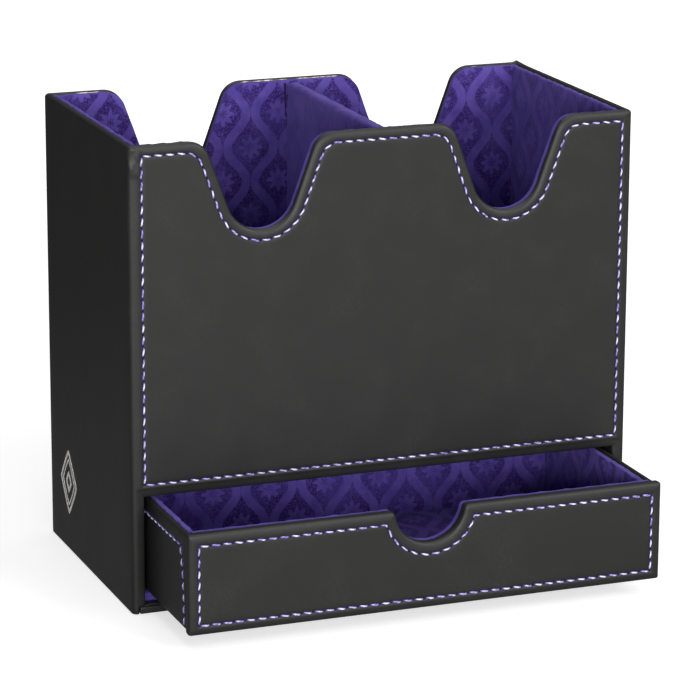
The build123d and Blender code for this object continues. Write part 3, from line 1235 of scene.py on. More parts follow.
@dataclass
class CaseCover:
    """The leatherette sleeve round the case, its loose end, its seams and the base's covering."""

    finishes: Finishes
    thickness: float = 0.35 * MM
    corner_radius: float = 1.6 * MM
    edge_drop: float = 0.9 * MM
    seam_top: float = 3.2 * MM
    seam_left: float = 4.2 * MM
    seam_right: float = 3.5 * MM
    seam_bottom: float = 3.9 * MM
    back_seam: float = 3.3 * MM
    spacing: float = 0.7 * MM
    side_columns: int = 14
    corner_columns: int = 6
    ground_edge: float = 0.5 * MM
    turned_depth: float = 10.4 * MM
    flap: Flat = (4.1 * MM, 9.0 * MM)
    flap_rise: float = 0.20 * MM
    flap_crease: float = 0.22 * MM
    flap_edge: float = 0.5 * MM
    flap_depth: float = 0.9 * MM
    flap_grain: Flat = (620.0, 260.0)
    fold_rise: float = 0.5 * MM
    fold_place: Flat = (1.4 * MM, 1.2 * MM)
    fold_size: float = 0.9 * MM
    fold_drop: float = 1.2 * MM
    base_radius: float = 0.55 * MM
    base_spacing: Sizes = (3 * MM, 9 * MM, 1 * MM)
    tongue_size: Flat = (5.2 * MM, 2.4 * MM)
    tongue_rise: float = 0.35 * MM
    tongue_radius: float = 0.15 * MM
    tongue_spacing: Sizes = (0.5 * MM, 0.6 * MM, 0.4 * MM)
    tongue_curl: float = 0.45 * MM
    first_seed: int = 11
    rim: RimProfile = RimProfile()
    opening_rim: RimProfile = RimProfile(
        lead=(
            (2.2, 0.06), (1.8, 0.08), (1.4, 0.13), (1.0, 0.21),
            (0.6, 0.31), (0.35, 0.40), (0.12, 0.68), (0.0, 1.2),
        ),
        tail=((0.05, 1.60), (0.22, 1.95), (0.50, 2.15), (0.90, 2.30)),
    )
    low: Vector = field(init=False)
    high: Vector = field(init=False)
    opening_half: float = field(init=False)
    opening_top: float = field(init=False)
    opening_drop: float = field(init=False)
    base_top: float = field(init=False)
    split: float = field(init=False)
    levels: list[float] = field(init=False)

    def __post_init__(self) -> None:
        """Read the frame's sizes."""
        self.low, self.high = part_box("outer_wrap")
        self.opening_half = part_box("bay_right_velour")[0].x
        self.opening_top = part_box("shelf_board")[0].z
        self.base_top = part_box("base_wrap")[1].z
        self.opening_drop = self.opening_rim.first()[0][0]
        self.split = self.opening_top + self.opening_drop
        top = self.high.z - self.edge_drop
        lower = steps(self.base_top, self.split, round((self.split - self.base_top) / self.spacing))
        upper = steps(self.split, top, round((top - self.split) / self.spacing))
        self.levels = [self.ground_edge, (self.ground_edge + self.base_top) / 2] + lower[:-1] + upper

    def _panel(self, face: Face) -> Panel:
        """Return the front or back wall's outline."""
        bottom = self.opening_top if face is Face.FRONT else 0.0
        edge = self.opening_drop if face is Face.FRONT else self.ground_edge
        first = bottom + edge
        levels = [z for z in self.levels if z > first - WELD]
        shares = tuple((z - first) / (levels[-1] - first) for z in levels)
        width = 2 * (self.high.x - self.corner_radius)
        near = (self.high.x - self.corner_radius - self.opening_half - self.opening_drop) / width
        middle = steps(near, 1 - near, round(2 * self.opening_half / self.spacing))
        scoop_x = compartment_middle()
        return Panel(
            low=(self.low.x, bottom),
            high=(self.high.x, self.high.z),
            cuts=(Scoop(-scoop_x), Scoop(scoop_x)),
            bottom_shares=(0.0, *middle, 1.0),
            side_shares=shares,
            spacing=self.spacing,
        )

    def _face(self, face: Face) -> SeamedFace:
        """Return the front or back wall's outer face."""
        corner, front = self.corner_radius, face is Face.FRONT
        edge = Margins(corner, corner, self.opening_drop if front else self.ground_edge, self.edge_drop)
        if front:
            seam = Margins(self.seam_left, self.seam_right, self.seam_bottom, self.seam_top)
        else:
            seam = Margins.even(self.back_seam)
        plane = self.low.y if front else self.high.y
        return SeamedFace(self._panel(face), edge, seam, plane, face)

    def _side_row(self, side: int, depth: float, height: float) -> list[Point]:
        """Return one level line of a side wall, from the front face round to the back face.

        Args:
            side: -1 for the left wall, 1 for the right wall.
            depth: How far it lies behind the face.
            height: Its height.

        Returns:
            The points, with both ends.
        """
        turn = turned_corner(self.high, self.corner_radius, depth, self.corner_columns)
        reach = self.high.y - max(depth, self.corner_radius)
        line = [(x, -y) for x, y in turn[:0:-1]]
        line += [(self.high.x - depth, y) for y in steps(-reach, reach, self.side_columns)][:-1]
        return [(side * x, y, height) for x, y in line + turn]

    def _opening_row(self, inset: float, depth: float) -> tuple[list[Point], list[Point], list[Point]]:
        """Return the drawer opening's left post, header and right post lines at an inset and a depth."""
        y = self.low.y + depth
        x, top = self.opening_half + inset, self.opening_top + inset
        posts = [z for z in self.levels if self.base_top - WELD < z < self.split + WELD]
        rise = [blend(self.base_top, top, (z - self.base_top) / (self.split - self.base_top)) for z in posts]
        header = [(s, y, top) for s in steps(-x, x, round(2 * self.opening_half / self.spacing))]
        return [(-x, y, z) for z in rise], header, [(x, y, z) for z in rise]

    def _walls(self, draft: MeshDraft) -> None:
        """Add the outer faces of the four walls and the posts beside the drawer."""
        flush = self.rim.first()[0][1]
        for face in Face:
            self._face(face).cover(draft)
        for side in (-1, 1):
            draft.grid([self._side_row(side, flush, z) for z in self.levels])
        y = self.low.y + flush
        wide = (self.high.x - self.corner_radius, self.opening_half + self.opening_drop)
        for side in (-1, 1):
            draft.grid([[(side * x, y, z) for x in wide] for z in self.levels if z < self.split + WELD])

    def _top_rim(self, draft: MeshDraft) -> None:
        """Add the rim over the four walls."""
        for face in Face:
            panel, plane = self._panel(face), self.low.y if face is Face.FRONT else self.high.y
            rows = []
            for drop, depth in self.rim.over():
                side = max(self.corner_radius, depth)
                run = panel.top_run(Margins(side, side, 0.0, drop))
                rows.append([(x, plane - face.value * depth, z) for x, z in run])
            draft.grid(rows)
        for side in (-1, 1):
            draft.grid([self._side_row(side, depth, self.high.z - drop) for drop, depth in self.rim.over()])

    def _ground_rim(self, draft: MeshDraft) -> None:
        """Add the edge that turns in under the walls, with a short stub under each post."""
        flush = self.rim.first()[0][1]
        sole = ((self.ground_edge, flush), (0.15 * MM, 0.2 * MM), (0.0, 0.5 * MM), (0.0, self.base_top))
        back = self._panel(Face.BACK)
        inner = self.opening_half + self.opening_drop
        for side in (-1, 1):
            draft.grid([self._side_row(side, depth, lift) for lift, depth in sole])
            stub = []
            for lift, depth in sole:
                x, y = self.high.x - max(self.corner_radius, depth), self.low.y + depth
                stub.append([(side * x, y, lift), (side * inner, y, lift)])
            draft.grid(stub)
        rows = []
        for lift, depth in sole:
            side = max(self.corner_radius, depth)
            run = back.bottom_run(Margins(side, side, lift, 0.0))
            rows.append([(x, self.high.y - depth, z) for x, z in run])
        draft.grid(rows)

    def _opening(self, draft: MeshDraft) -> None:
        """Add the drawer opening's edges, turned in beside the drawer and above it."""
        lines = [self._opening_row(inset, depth) for inset, depth in self.opening_rim.first()]
        for part in range(3):
            draft.grid([line[part] for line in lines])
        inwards = (self.opening_rim.first()[-1][1], self.turned_depth / 2, self.turned_depth)
        for part in (0, 2):
            draft.grid([self._opening_row(0.0, depth)[part] for depth in inwards])
        header = [lines[-1][1]]
        for inset, depth in self.opening_rim.over()[len(self.opening_rim.lead):]:
            header.append([(x, self.low.y + depth, self.opening_top + inset) for x, _, _ in header[0]])
        draft.grid(header)

    def _crumple(self, co: Vector) -> Vector:
        """Return the flap folded over the front's upper left corner, and the fold at the back's right one."""
        move = Vector((0.0, 0.0, 0.0))
        if co.y < self.low.y + self.flap_depth:
            inner = ease((self.low.x + self.flap[0] - co.x) / self.flap_edge + 0.5)
            lower = ease((co.z - self.high.z + self.flap[1]) / self.flap_edge + 0.5)
            crease = sum(noise.noise(co * grain) * self.flap_crease for grain in self.flap_grain)
            move.y = inner * lower * (crease - self.flap_rise)
        if co.z > self.high.z - self.fold_drop:
            beside = fade(co.x - self.high.x + self.fold_place[0], self.fold_size)
            move.z = self.fold_rise * beside * fade(co.y - self.high.y + self.fold_place[1], self.fold_size)
        return move

    def _tongue(self) -> Object:
        """Make the sleeve's loose end, which lies on the base beside the left post."""
        left, start = -self.opening_half - 0.4 * MM, self.low.y - 0.1 * MM
        end_x, end_y = left + self.tongue_size[0], start + self.tongue_size[1]
        low = Vector((left, start, self.base_top - 0.1 * MM))
        high = Vector((end_x, end_y, self.base_top + self.tongue_rise))
        slab = RoundedSlab(low, high, self.tongue_radius, self.tongue_spacing)

        def curl(co: Vector) -> Vector:
            """Return how far the loose end curls up."""
            share = (co.x - low.x) / (high.x - low.x)
            wave = self.tongue_curl * math.sin(math.pi * share)
            return Vector((0.0, 0.0, wave + noise.noise(co * 500.0) * 0.1 * MM))

        return slab.build("sleeve_tongue", self.finishes.leather, warp=curl)

    def build(self) -> None:
        """Make and seat the case's leatherette pieces and their seams."""
        draft = MeshDraft()
        self._walls(draft)
        self._top_rim(draft)
        self._ground_rim(draft)
        self._opening(draft)
        sleeve = draft.build("case_sleeve", self.finishes.leather, warp=self._crumple)
        seat(thicken(sleeve, self.thickness), Body.CASE, Slot.LEATHERETTE, "outer_wrap")
        slab = RoundedSlab.of_node("base_wrap", self.base_radius, self.base_spacing)
        base = slab.build("base_cover", self.finishes.leather)
        seat(base, Body.CASE, Slot.LEATHERETTE, "base_wrap")
        seat(self._tongue(), Body.CASE, Slot.LEATHERETTE)
        for seed, face in enumerate(Face, self.first_seed):
            name = "case_front_seam" if face is Face.FRONT else "case_back_seam"
            Seam().sew(name, self._face(face).seam_runs(), Body.CASE, seed, True, self.finishes)


@dataclass(frozen=True)
class RoundedSlab:
    """A slab between two corners with all its edges rounded and its faces divided."""

    low: Vector
    high: Vector
    radius: float
    spacing: Sizes
    edge_steps: int = 3

    @classmethod
    def of_node(cls, node: str, radius: float, spacing: Sizes) -> RoundedSlab:
        """Return the slab that fills a frame node's box."""
        low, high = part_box(node)
        return cls(low, high, radius, spacing)

    def _reach(self, axis: int) -> float:
        """Return the rounding along one axis, which never takes up the whole slab."""
        return min(self.radius, (self.high[axis] - self.low[axis]) / 2 - WELD / 2)

    def _marks(self, axis: int) -> list[float]:
        """Return the places along one axis where the faces are divided."""
        low, high, radius = self.low[axis], self.high[axis], self._reach(axis)
        angles = [math.radians(45 * (1 - k / self.edge_steps)) for k in range(self.edge_steps + 1)]
        curve = [radius * (1 - math.tan(angle)) for angle in angles]
        count = max(1, round((high - low - 2 * radius) / self.spacing[axis]))
        middle = steps(low + radius, high - radius, count)
        return [low + c for c in curve[:-1]] + middle + [high - c for c in reversed(curve[:-1])]

    def _rounded(self, point: Sequence[float]) -> Point:
        """Pull a point of the square slab onto the rounded one."""
        core, reach = [], []
        for axis in range(3):
            reach.append(self._reach(axis))
            core.append(min(max(point[axis], self.low[axis] + reach[axis]), self.high[axis] - reach[axis]))
        away = Vector([(p - c) / r for p, c, r in zip(point, core, reach)])
        if away.length > 0:
            away.normalize()
        return tuple(c + a * r for c, a, r in zip(core, away, reach))

    def _add(self, draft: MeshDraft) -> None:
        """Add the slab's six faces to a mesh draft."""
        marks = [self._marks(axis) for axis in range(3)]
        for axis in range(3):
            first, second = [k for k in range(3) if k != axis]
            for level in (self.low[axis], self.high[axis]):
                rows = []
                for b in marks[second]:
                    row = []
                    for a in marks[first]:
                        point = [0.0, 0.0, 0.0]
                        point[axis], point[first], point[second] = level, a, b
                        row.append(self._rounded(point))
                    rows.append(row)
                draft.grid(rows)

    def build(
        self,
        name: str,
        material: Material,
        weave: Optional[Weave] = None,
        warp: Optional[Warp] = None,
    ) -> Object:
        """Make the slab as an object of its own.

        Args:
            name: The piece's name.
            material: Its finish.
            weave: The axes of its pattern, if it has one.
            warp: Moves each point by what it returns.

        Returns:
            The new object.
        """
        draft = MeshDraft()
        self._add(draft)
        return draft.build(name, material, weave, warp)


@dataclass(frozen=True)
class Pile:
    """The soft unevenness of a velour edge."""

    low: Vector
    high: Vector
    reach: float = 1.2 * MM
    coarse: float = 2.6 * MM
    fine: float = 1.1 * MM
    coarse_depth: float = 0.20 * MM
    fine_depth: float = 0.14 * MM
    calm: float = 0.25
    settle: float = 0.05 * MM

    def warp(self, co: Vector) -> Vector:
        """Return how far the pile moves a point, which is most near the top edge."""
        near = fade(self.high.z - co.z, self.reach)
        share = self.calm + (1 - self.calm) * near
        broad = noise.noise_vector(co / self.coarse) * self.coarse_depth
        small = noise.noise_vector(co / self.fine) * self.fine_depth
        move = (broad + small) * share
        return Vector((move.x, move.y, (move.z - self.settle) * near))


@dataclass(frozen=True)
class VelourPanel:
    """A lined board whose outline has scoops or a notch, covered in velour all round."""

    panel: Panel
    front: float
    back: float
    inset: float
    radius: float = 0.8 * MM
    edge_steps: int = 3
    net: float = 4 * MM

    def _section(self) -> list[tuple[float, float]]:
        """Return the edge's section: pairs of margin and depth along Y."""
        turns = steps(0.0, math.pi / 2, self.edge_steps)
        quarter = [(self.radius * (1 - math.sin(a)), self.radius * (1 - math.cos(a))) for a in turns]
        near = [(m, self.front + d) for m, d in quarter]
        far = [(m, self.back - d) for m, d in reversed(quarter)]
        return near + far

    def build(self, name: str, material: Material, warp: Warp) -> Object:
        """Make the panel.

        Args:
            name: The piece's name.
            material: Its finish.
            warp: Moves each point by what it returns.

        Returns:
            The new object.
        """
        draft = MeshDraft()
        section = self._section()

        def margins(amount: float) -> Margins:
            """Return the outline's margins a given amount inside the lining's own edge."""
            return Margins(amount, amount, amount, amount + self.inset)

        draft.grid([[(x, y, z) for x, z in self.panel.loop(margins(m))] for m, y in section], closed=True)
        for m, y in (section[0], section[-1]):
            draft.fill(self.panel.loop(margins(m)), lambda p, y=y: (p[0], y, p[1]), self.net)
        return draft.build(name, material, Weave.ACROSS_AND_UP, warp)


@dataclass
class Linings:
    """What the linings of the case and of the drawer share."""

    finishes: Finishes
    body: Body
    edge_radius: float
    cut_radius: float
    cut_inset: float = 0.2 * MM
    dense: float = 0.6 * MM
    sparse: float = 5 * MM
    thin: float = 1.0 * MM

    @staticmethod
    def _cover(node: str) -> str:
        """Return the name of the cover that stands for a velour node."""
        return node.replace("velour", "cover")

    def _slab(self, node: str, weave: Weave, spacing: Sizes, finish: Material) -> None:
        """Make one plain lining that replaces a node of the frame.

        Args:
            node: The node.
            weave: The axes of its pattern.
            spacing: The size of its faces along X, Y and Z.
            finish: Its material.
        """
        slab = RoundedSlab.of_node(node, self.edge_radius, spacing)
        piece = slab.build(self._cover(node), finish, weave, Pile(slab.low, slab.high).warp)
        seat(piece, self.body, Slot.VELOUR, node)

    def _cut_out(self, node: str, cuts: tuple[object, ...], bottom: int, side: int) -> None:
        """Make one lining whose top edge has scoops or a notch.

        Args:
            node: The node of the frame that it replaces.
            cuts: The scoops or the notch.
            bottom: How many parts its lower edge is divided into.
            side: How many parts each upright edge is divided into.
        """
        low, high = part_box(node)
        panel = Panel(
            low=(low.x, low.z),
            high=(high.x, high.z + self.cut_inset),
            cuts=cuts,
            bottom_shares=tuple(steps(0.0, 1.0, bottom)),
            side_shares=tuple(steps(0.0, 1.0, side)),
            spacing=self.dense,
        )
        sheet = VelourPanel(panel, low.y, high.y, self.cut_inset, self.cut_radius)
        piece = sheet.build(self._cover(node), self.finishes.lining, Pile(low, high).warp)
        seat(piece, self.body, Slot.VELOUR, node)


@dataclass
class CaseLinings(Linings):
    """The velour inside the case: both decks, the divider and the drawer's bay."""

    body: Body = Body.CASE
    edge_radius: float = 0.8 * MM
    cut_radius: float = 0.5 * MM
    divider_radius: float = 1.3 * MM
    divider_spacing: Sizes = (1.5 * MM, 0.6 * MM, 2 * MM)
    core_radius: float = 1.2 * MM
    core_spacing: Sizes = (1.5 * MM, 2 * MM, 2 * MM)
    slit_depth: float = 0.9 * MM
    slit_length: float = 6 * MM
    slit_reach: float = 8 * MM
    # The dark strip beside the divider is painted shade in the joint.
    shade_size: Flat = (0.10 * MM, 0.42 * MM)
    shade_reach: float = 11 * MM
    shade_drop: float = 0.5 * MM
    # Pale strips along the back rim: a painted highlight where the rim reflects the bright backdrop.
    card_size: float = 0.27 * MM
    card_step: float = 0.5
    card_drop: float = 0.42 * MM
    card_edges: tuple[Flat, ...] = ((-70.5, -61.8), (-16.4, -1.0), (2.0, 16.4), (62.2, 64.0))

    def _divider(self) -> None:
        """Make the divider and its board, soft all round and drawn away from the back lining at the top."""
        cover = RoundedSlab.of_node("divider_velour", self.divider_radius, self.divider_spacing)
        board = RoundedSlab.of_node("divider_board", self.core_radius, self.core_spacing)
        pile = Pile(cover.low, cover.high)

        def slit(co: Vector) -> Vector:
            """Return the move away from the back lining."""
            rear = fade(cover.high.y - co.y, self.slit_length) * fade(cover.high.z - co.z, self.slit_reach)
            return Vector((0.0, -self.slit_depth * rear, 0.0))

        def soften(co: Vector) -> Vector:
            """Return the pile's move and the slit's together."""
            return pile.warp(co) + slit(co)

        soft = cover.build("divider_cover", self.finishes.plain_lining, Weave.DEEP_AND_UP, soften)
        seat(soft, Body.CASE, Slot.VELOUR, "divider_velour")
        stiff = board.build("divider_core", self.finishes.board, warp=slit)
        seat(stiff, Body.CASE, Slot.BOARD, "divider_board")

    def _divider_shade(self) -> None:
        """Make the dark strip between the divider and the back lining towards the top, a painted shade in the
        joint.
        """
        low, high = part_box("divider_velour")
        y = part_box("back_lining_velour")[0].y
        draft, rings = MeshDraft(), []
        for share in steps(0.0, 1.0, 16):
            size = blend(*self.shade_size, share)
            z = high.z - (1.0 - share) * self.shade_reach - self.shade_drop
            x = low.x - 0.5 * size + noise.noise(Vector((z * 300.0, 0.3, 0.9))) * 0.15 * MM
            rings.append([(x + size * c, y + 0.4 * size * s, z) for c, s in around(10)])
        draft.tube(rings)
        # The strip carries the dark matt finish: painted shade in the joint.
        seat(draft.build("divider_painted_shade", self.finishes.thread_shadow), Body.CASE, Slot.VELOUR)

    def _card_edges(self) -> None:
        """Make the pale strips between the back lining and the rim, a painted highlight where the rim
        reflects the bright backdrop.
        """
        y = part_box("back_lining_velour")[1].y - 0.05 * MM
        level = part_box("outer_wrap")[1].z - self.card_drop
        draft = MeshDraft()
        for start, end in self.card_edges:
            rings: list[list[Point]] = []
            for x in steps(start * MM, end * MM, round((end - start) / self.card_step)):
                share = 0.55 + 0.9 * noise.noise(Vector((x * 420.0, 3.7, 1.3)))
                ends = ease((x - start * MM) / (1.5 * MM)) * ease((end * MM - x) / (1.5 * MM))
                size = self.card_size * min(max(share * ends, 0.12), 1.0)
                rings.append([(x, y + size * c, level + 0.8 * size * s) for c, s in around(8)])
            draft.tube(rings)
        seat(draft.build("back_lining_card_edges", self.finishes.card), Body.CASE, Slot.BOARD)

    def build(self) -> None:
        """Make and seat every velour piece of the case."""
        scoop_x = compartment_middle()
        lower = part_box("outer_wrap")[1].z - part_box("front_lining_velour")[1].z - self.cut_inset
        cuts = tuple(Scoop(x, depth=Scoop.depth - lower) for x in (-scoop_x, scoop_x))
        for wall in ("front", "back"):
            self._cut_out(f"{wall}_lining_velour", cuts, 60, 40)
        plain, faint = self.finishes.lining, self.finishes.faint_lining
        upright, level = (self.thin, self.dense, self.sparse), (self.sparse, self.sparse, self.thin)
        for side in ("left", "right"):
            self._slab(f"{side}_lining_velour", Weave.DEEP_AND_UP, upright, faint)
            self._slab(f"{side}_floor_velour", Weave.ACROSS_AND_DEEP, level, plain)
        self._divider()
        self._divider_shade()
        self._card_edges()
        rear, runner = (self.sparse, self.thin, self.sparse), (self.dense, self.sparse, self.thin)
        self._slab("bay_back_velour", Weave.ACROSS_AND_UP, rear, plain)
        self._slab("bay_floor_velour", Weave.ACROSS_AND_DEEP, runner, plain)


@dataclass
class DrawerCover:
    """The leatherette of the drawer: its front panel, the strip round the tray and their seams.

    The sections from front_lead to tray_foot are in millimetres. Each pair is a distance in from the edge
    and a depth: behind the outer face, or before the back in front_tail.
    """

    finishes: Finishes
    edge: float = 0.9 * MM
    seam_side: float = 3.2 * MM
    seam_top: float = 3.5 * MM
    seam_bottom: float = 3.0 * MM
    spacing: float = 0.7 * MM
    corner_radius: float = 1.2 * MM
    corner_columns: int = 5
    thickness: float = 0.35 * MM
    front_corner: float = 0.75 * MM
    tray_seam_top: float = 4.55 * MM
    tray_seam_foot: float = 2.2 * MM
    tray_seam_lean: float = 3.1 * MM
    groove: float = 0.16 * MM
    groove_reach: float = 0.5 * MM
    tray_roll: float = 0.10 * MM
    roll_rise: float = 2.0 * MM
    roll_reach: float = 1.2 * MM
    front_round: float = 0.3 * MM
    front_seed: int = 31
    side_seeds: tuple[int, int] = (41, 42)
    top_seed: int = 43
    front_lead: tuple[Flat, ...] = ((0.9, 0.06), (0.5, 0.20), (0.25, 0.40), (0.07, 0.72), (0.0, 1.10))
    front_tail: tuple[Flat, ...] = ((0.0, 1.1), (0.05, 0.7), (0.25, 0.3), (0.6, 0.05), (1.0, 0.0))
    tray_rim: tuple[Flat, ...] = (
        (1.0, 0.0), (0.5, 0.1), (0.2, 0.34), (0.05, 0.62), (0.0, 0.9), (0.05, 1.18),
        (0.2, 1.46), (0.5, 1.7), (1.0, 1.8), (2.5, 1.8), (5.0, 1.8),
    )
    tray_foot: tuple[Flat, ...] = (
        (5.0, 0.0), (1.0, 0.0), (0.4, 0.12), (0.12, 0.4), (0.0, 1.0), (0.0, 3.0), (0.0, 5.0),
    )
    seam_gaps: tuple[float, ...] = (-1.6, -1.0, -0.6, -0.3, 0.0, 0.3, 0.6, 1.0, 1.6, 2.2)
    low: Vector = field(init=False)
    high: Vector = field(init=False)

    def __post_init__(self) -> None:
        """Read the tray's size from the frame."""
        self.low, self.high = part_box("tray_wrap")

    def _front_face(self) -> SeamedFace:
        """Return the front panel's outer face."""
        low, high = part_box("drawer_front_wrap")
        shares = tuple(steps(0.0, 1.0, round((high.z - low.z) / self.spacing)))
        bottom = tuple(steps(0.0, 1.0, round((high.x - low.x) / self.spacing)))
        panel = Panel((low.x, low.z), (high.x, high.z), (Notch(0.0),), bottom, shares, self.spacing)
        seam = Margins(self.seam_side, self.seam_side, self.seam_bottom, self.seam_top)
        return SeamedFace(panel, Margins.even(self.edge), seam, low.y, Face.FRONT)

    def _front(self) -> None:
        """Make the front panel's covering and its seam."""
        face = self._front_face()
        low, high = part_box("drawer_front_wrap")
        section = [(inset, low.y + depth * MM) for inset, depth in self.front_lead]
        section += [(inset, high.y - depth * MM) for inset, depth in self.front_tail]
        draft = MeshDraft()
        face.cover(draft)
        rows = []
        for inset, y in section:
            rows.append([(x, y, z) for x, z in face.panel.loop(Margins.even(inset * MM))])
        draft.grid(rows, closed=True)
        last = Margins.even(self.front_tail[-1][0] * MM)
        draft.fill(face.panel.loop(last), lambda p: (p[0], high.y, p[1]), face.net)

        def warp(co: Vector) -> Vector:
            """Return the move that rounds the panel's four corners."""
            side, up = math.copysign(1.0, co.x), math.copysign(1.0, co.z - (low.z + high.z) / 2)
            core_x = side * (high.x - self.front_corner)
            core_z = (high.z if up > 0 else low.z) - up * self.front_corner
            reach_x, reach_z = (co.x - core_x) * side, (co.z - core_z) * up
            if min(reach_x, reach_z) <= 0:
                return Vector((0.0, 0.0, 0.0))
            share = max(reach_x, reach_z) / math.hypot(reach_x, reach_z) - 1
            return Vector((side * reach_x * share, 0.0, up * reach_z * share))

        piece = draft.build("drawer_front_cover", self.finishes.leather, warp=warp)
        seat(piece, Body.DRAWER, Slot.LEATHERETTE, "drawer_front_wrap")
        runs = face.seam_runs()
        Seam().sew("drawer_front_seam", runs, Body.DRAWER, self.front_seed, True, self.finishes)

    def _tray_row(self, depth: float, height: float, fronts: Sequence[float]) -> list[Point]:
        """Return one level line round the tray, from the left side's front to the right side's front.

        Args:
            depth: How far it lies behind the outer face.
            height: Its height.
            fronts: Places along the sides, from the front to the start of the rear corner.

        Returns:
            The points.
        """
        high, inset = self.high, max(depth, self.corner_radius)
        turn = turned_corner(high, self.corner_radius, depth, self.corner_columns)
        half = [(high.x - depth, min(y, high.y - inset)) for y in fronts[:-1]] + turn
        columns = round(2 * (high.x - self.corner_radius) / self.spacing)
        back = [(x, high.y - depth) for x in steps(inset - high.x, high.x - inset, columns)]
        line = [(-x, y) for x, y in half] + back[1:-1] + half[::-1]
        return [(x, y, height) for x, y in line]

    def _front_line(self, height: float) -> float:
        """Return where the side's upright seam lies along Y at a height, leaning back towards its top."""
        share = (height - self.low.z) / (self.high.z - self.tray_seam_top - self.low.z)
        return self.low.y + self.tray_seam_foot + self.tray_seam_lean * min(max(share, 0.0), 1.0) ** 3

    def _tray(self) -> None:
        """Make the tray's strip and its seams."""
        low, high = self.low, self.high
        top_line = high.z - self.tray_seam_top
        end = high.y - self.corner_radius
        fronts = [low.y] + steps(low.y + 0.3 * MM, low.y + 7.5 * MM, 24)
        fronts += steps(fronts[-1], end, round((end - fronts[-1]) / self.spacing))[1:]
        levels = steps(low.z + self.tray_foot[0][0] * MM, top_line - 2.4 * MM, 24)
        levels += [top_line + gap * MM for gap in self.seam_gaps]
        levels.append(high.z - self.tray_rim[0][0] * MM)
        draft = MeshDraft()
        draft.grid([self._tray_row(0.0, z, fronts) for z in levels])
        draft.grid([self._tray_row(depth * MM, high.z - drop * MM, fronts) for drop, depth in self.tray_rim])
        draft.grid([self._tray_row(depth * MM, low.z + lift * MM, fronts) for lift, depth in self.tray_foot])

        def warp(co: Vector) -> Vector:
            """Return the seam's groove, the roll above it and the rounded front end."""
            outer_x = abs(co.x) > high.x - 0.05 * MM
            outer_y = co.y > high.y - 0.05 * MM
            if not (outer_x or outer_y):
                return Vector((0.0, 0.0, 0.0))
            front_line = self._front_line(co.z)
            dip = fade(co.z - top_line, self.groove_reach)
            if outer_x:
                down = fade(co.y - front_line, self.groove_reach) if co.z < top_line else 0.0
                dip = max(dip if co.y > front_line else 0.0, down)
            swell = fade(co.z - (top_line + self.roll_rise), self.roll_reach)
            if outer_x and co.y < front_line + 3 * MM:
                swell = max(swell, fade(co.y - (low.y + 1.2 * MM), 0.9 * MM))
            inward = self.groove * dip - self.tray_roll * swell
            inward += self.front_round * fade(co.y - low.y, 0.25 * MM) if outer_x else 0.0
            side = math.copysign(1.0, co.x)
            return Vector((-side * inward, 0.0, 0.0)) if outer_x else Vector((0.0, -inward, 0.0))

        strip = thicken(draft.build("tray_cover", self.finishes.leather, warp=warp), self.thickness)
        seat(strip, Body.DRAWER, Slot.LEATHERETTE, "tray_wrap")
        self._tray_seam(fronts, top_line)

    def _tray_seam(self, fronts: Sequence[float], top_line: float) -> None:
        """Sew the line round the tray's top and down both sides' fronts."""
        low, high = self.low, self.high
        start = self._front_line(top_line)
        behind = [start] + [y for y in fronts if y > start + 0.2 * MM]
        sunk = self.groove * 0.6
        line = self._tray_row(0.0, top_line, behind)
        centre_x, centre_y = high.x - self.corner_radius, high.y - self.corner_radius
        top: list[tuple[Vector, Vector]] = []
        for co in line:
            out = Vector((0.0, 0.0, 0.0))
            out.x = math.copysign(max(abs(co[0]) - centre_x, 0.0), co[0])
            out.y = max(co[1] - centre_y, 0.0)
            out = out.normalized()
            top.append((Vector(co) - out * sunk, out))
        foot = low.z + 0.8 * MM
        for name, side, seed in zip(("left", "right"), (-1, 1), self.side_seeds):
            out = Vector((float(side), 0.0, 0.0))
            x = side * (high.x - sunk)
            run = [(Vector((x, self._front_line(z), z)), out) for z in steps(top_line, foot, 20)]
            Seam().sew(f"tray_{name}_seam", [run], Body.DRAWER, seed, False, self.finishes)
        Seam().sew("tray_top_seam", [top], Body.DRAWER, self.top_seed, False, self.finishes)

    def build(self) -> None:
        """Make and seat the drawer's leatherette pieces."""
        self._front()
        self._tray()


@dataclass
class DrawerLinings(Linings):
    """The velour inside the drawer."""

    body: Body = Body.DRAWER
    edge_radius: float = 0.45 * MM
    cut_radius: float = 0.45 * MM

    def build(self) -> None:
        """Make and seat every velour piece of the drawer."""
        node, finish = "drawer_front_lining_velour", self.finishes.lining
        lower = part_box("drawer_front_wrap")[1].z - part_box(node)[1].z - self.cut_inset
        self._cut_out(node, (Notch(0.0, depth=Notch.depth - lower),), 60, 16)
        along, across = (self.thin, self.dense, self.sparse), (self.dense, self.thin, self.sparse)
        for side in ("left", "right"):
            self._slab(f"tray_{side}_lining_velour", Weave.DEEP_AND_UP, along, finish)
        self._slab("tray_back_lining_velour", Weave.ACROSS_AND_UP, across, finish)
        level = (self.sparse, self.sparse, self.thin)
        self._slab("tray_floor_lining_velour", Weave.ACROSS_AND_DEEP, level, finish)


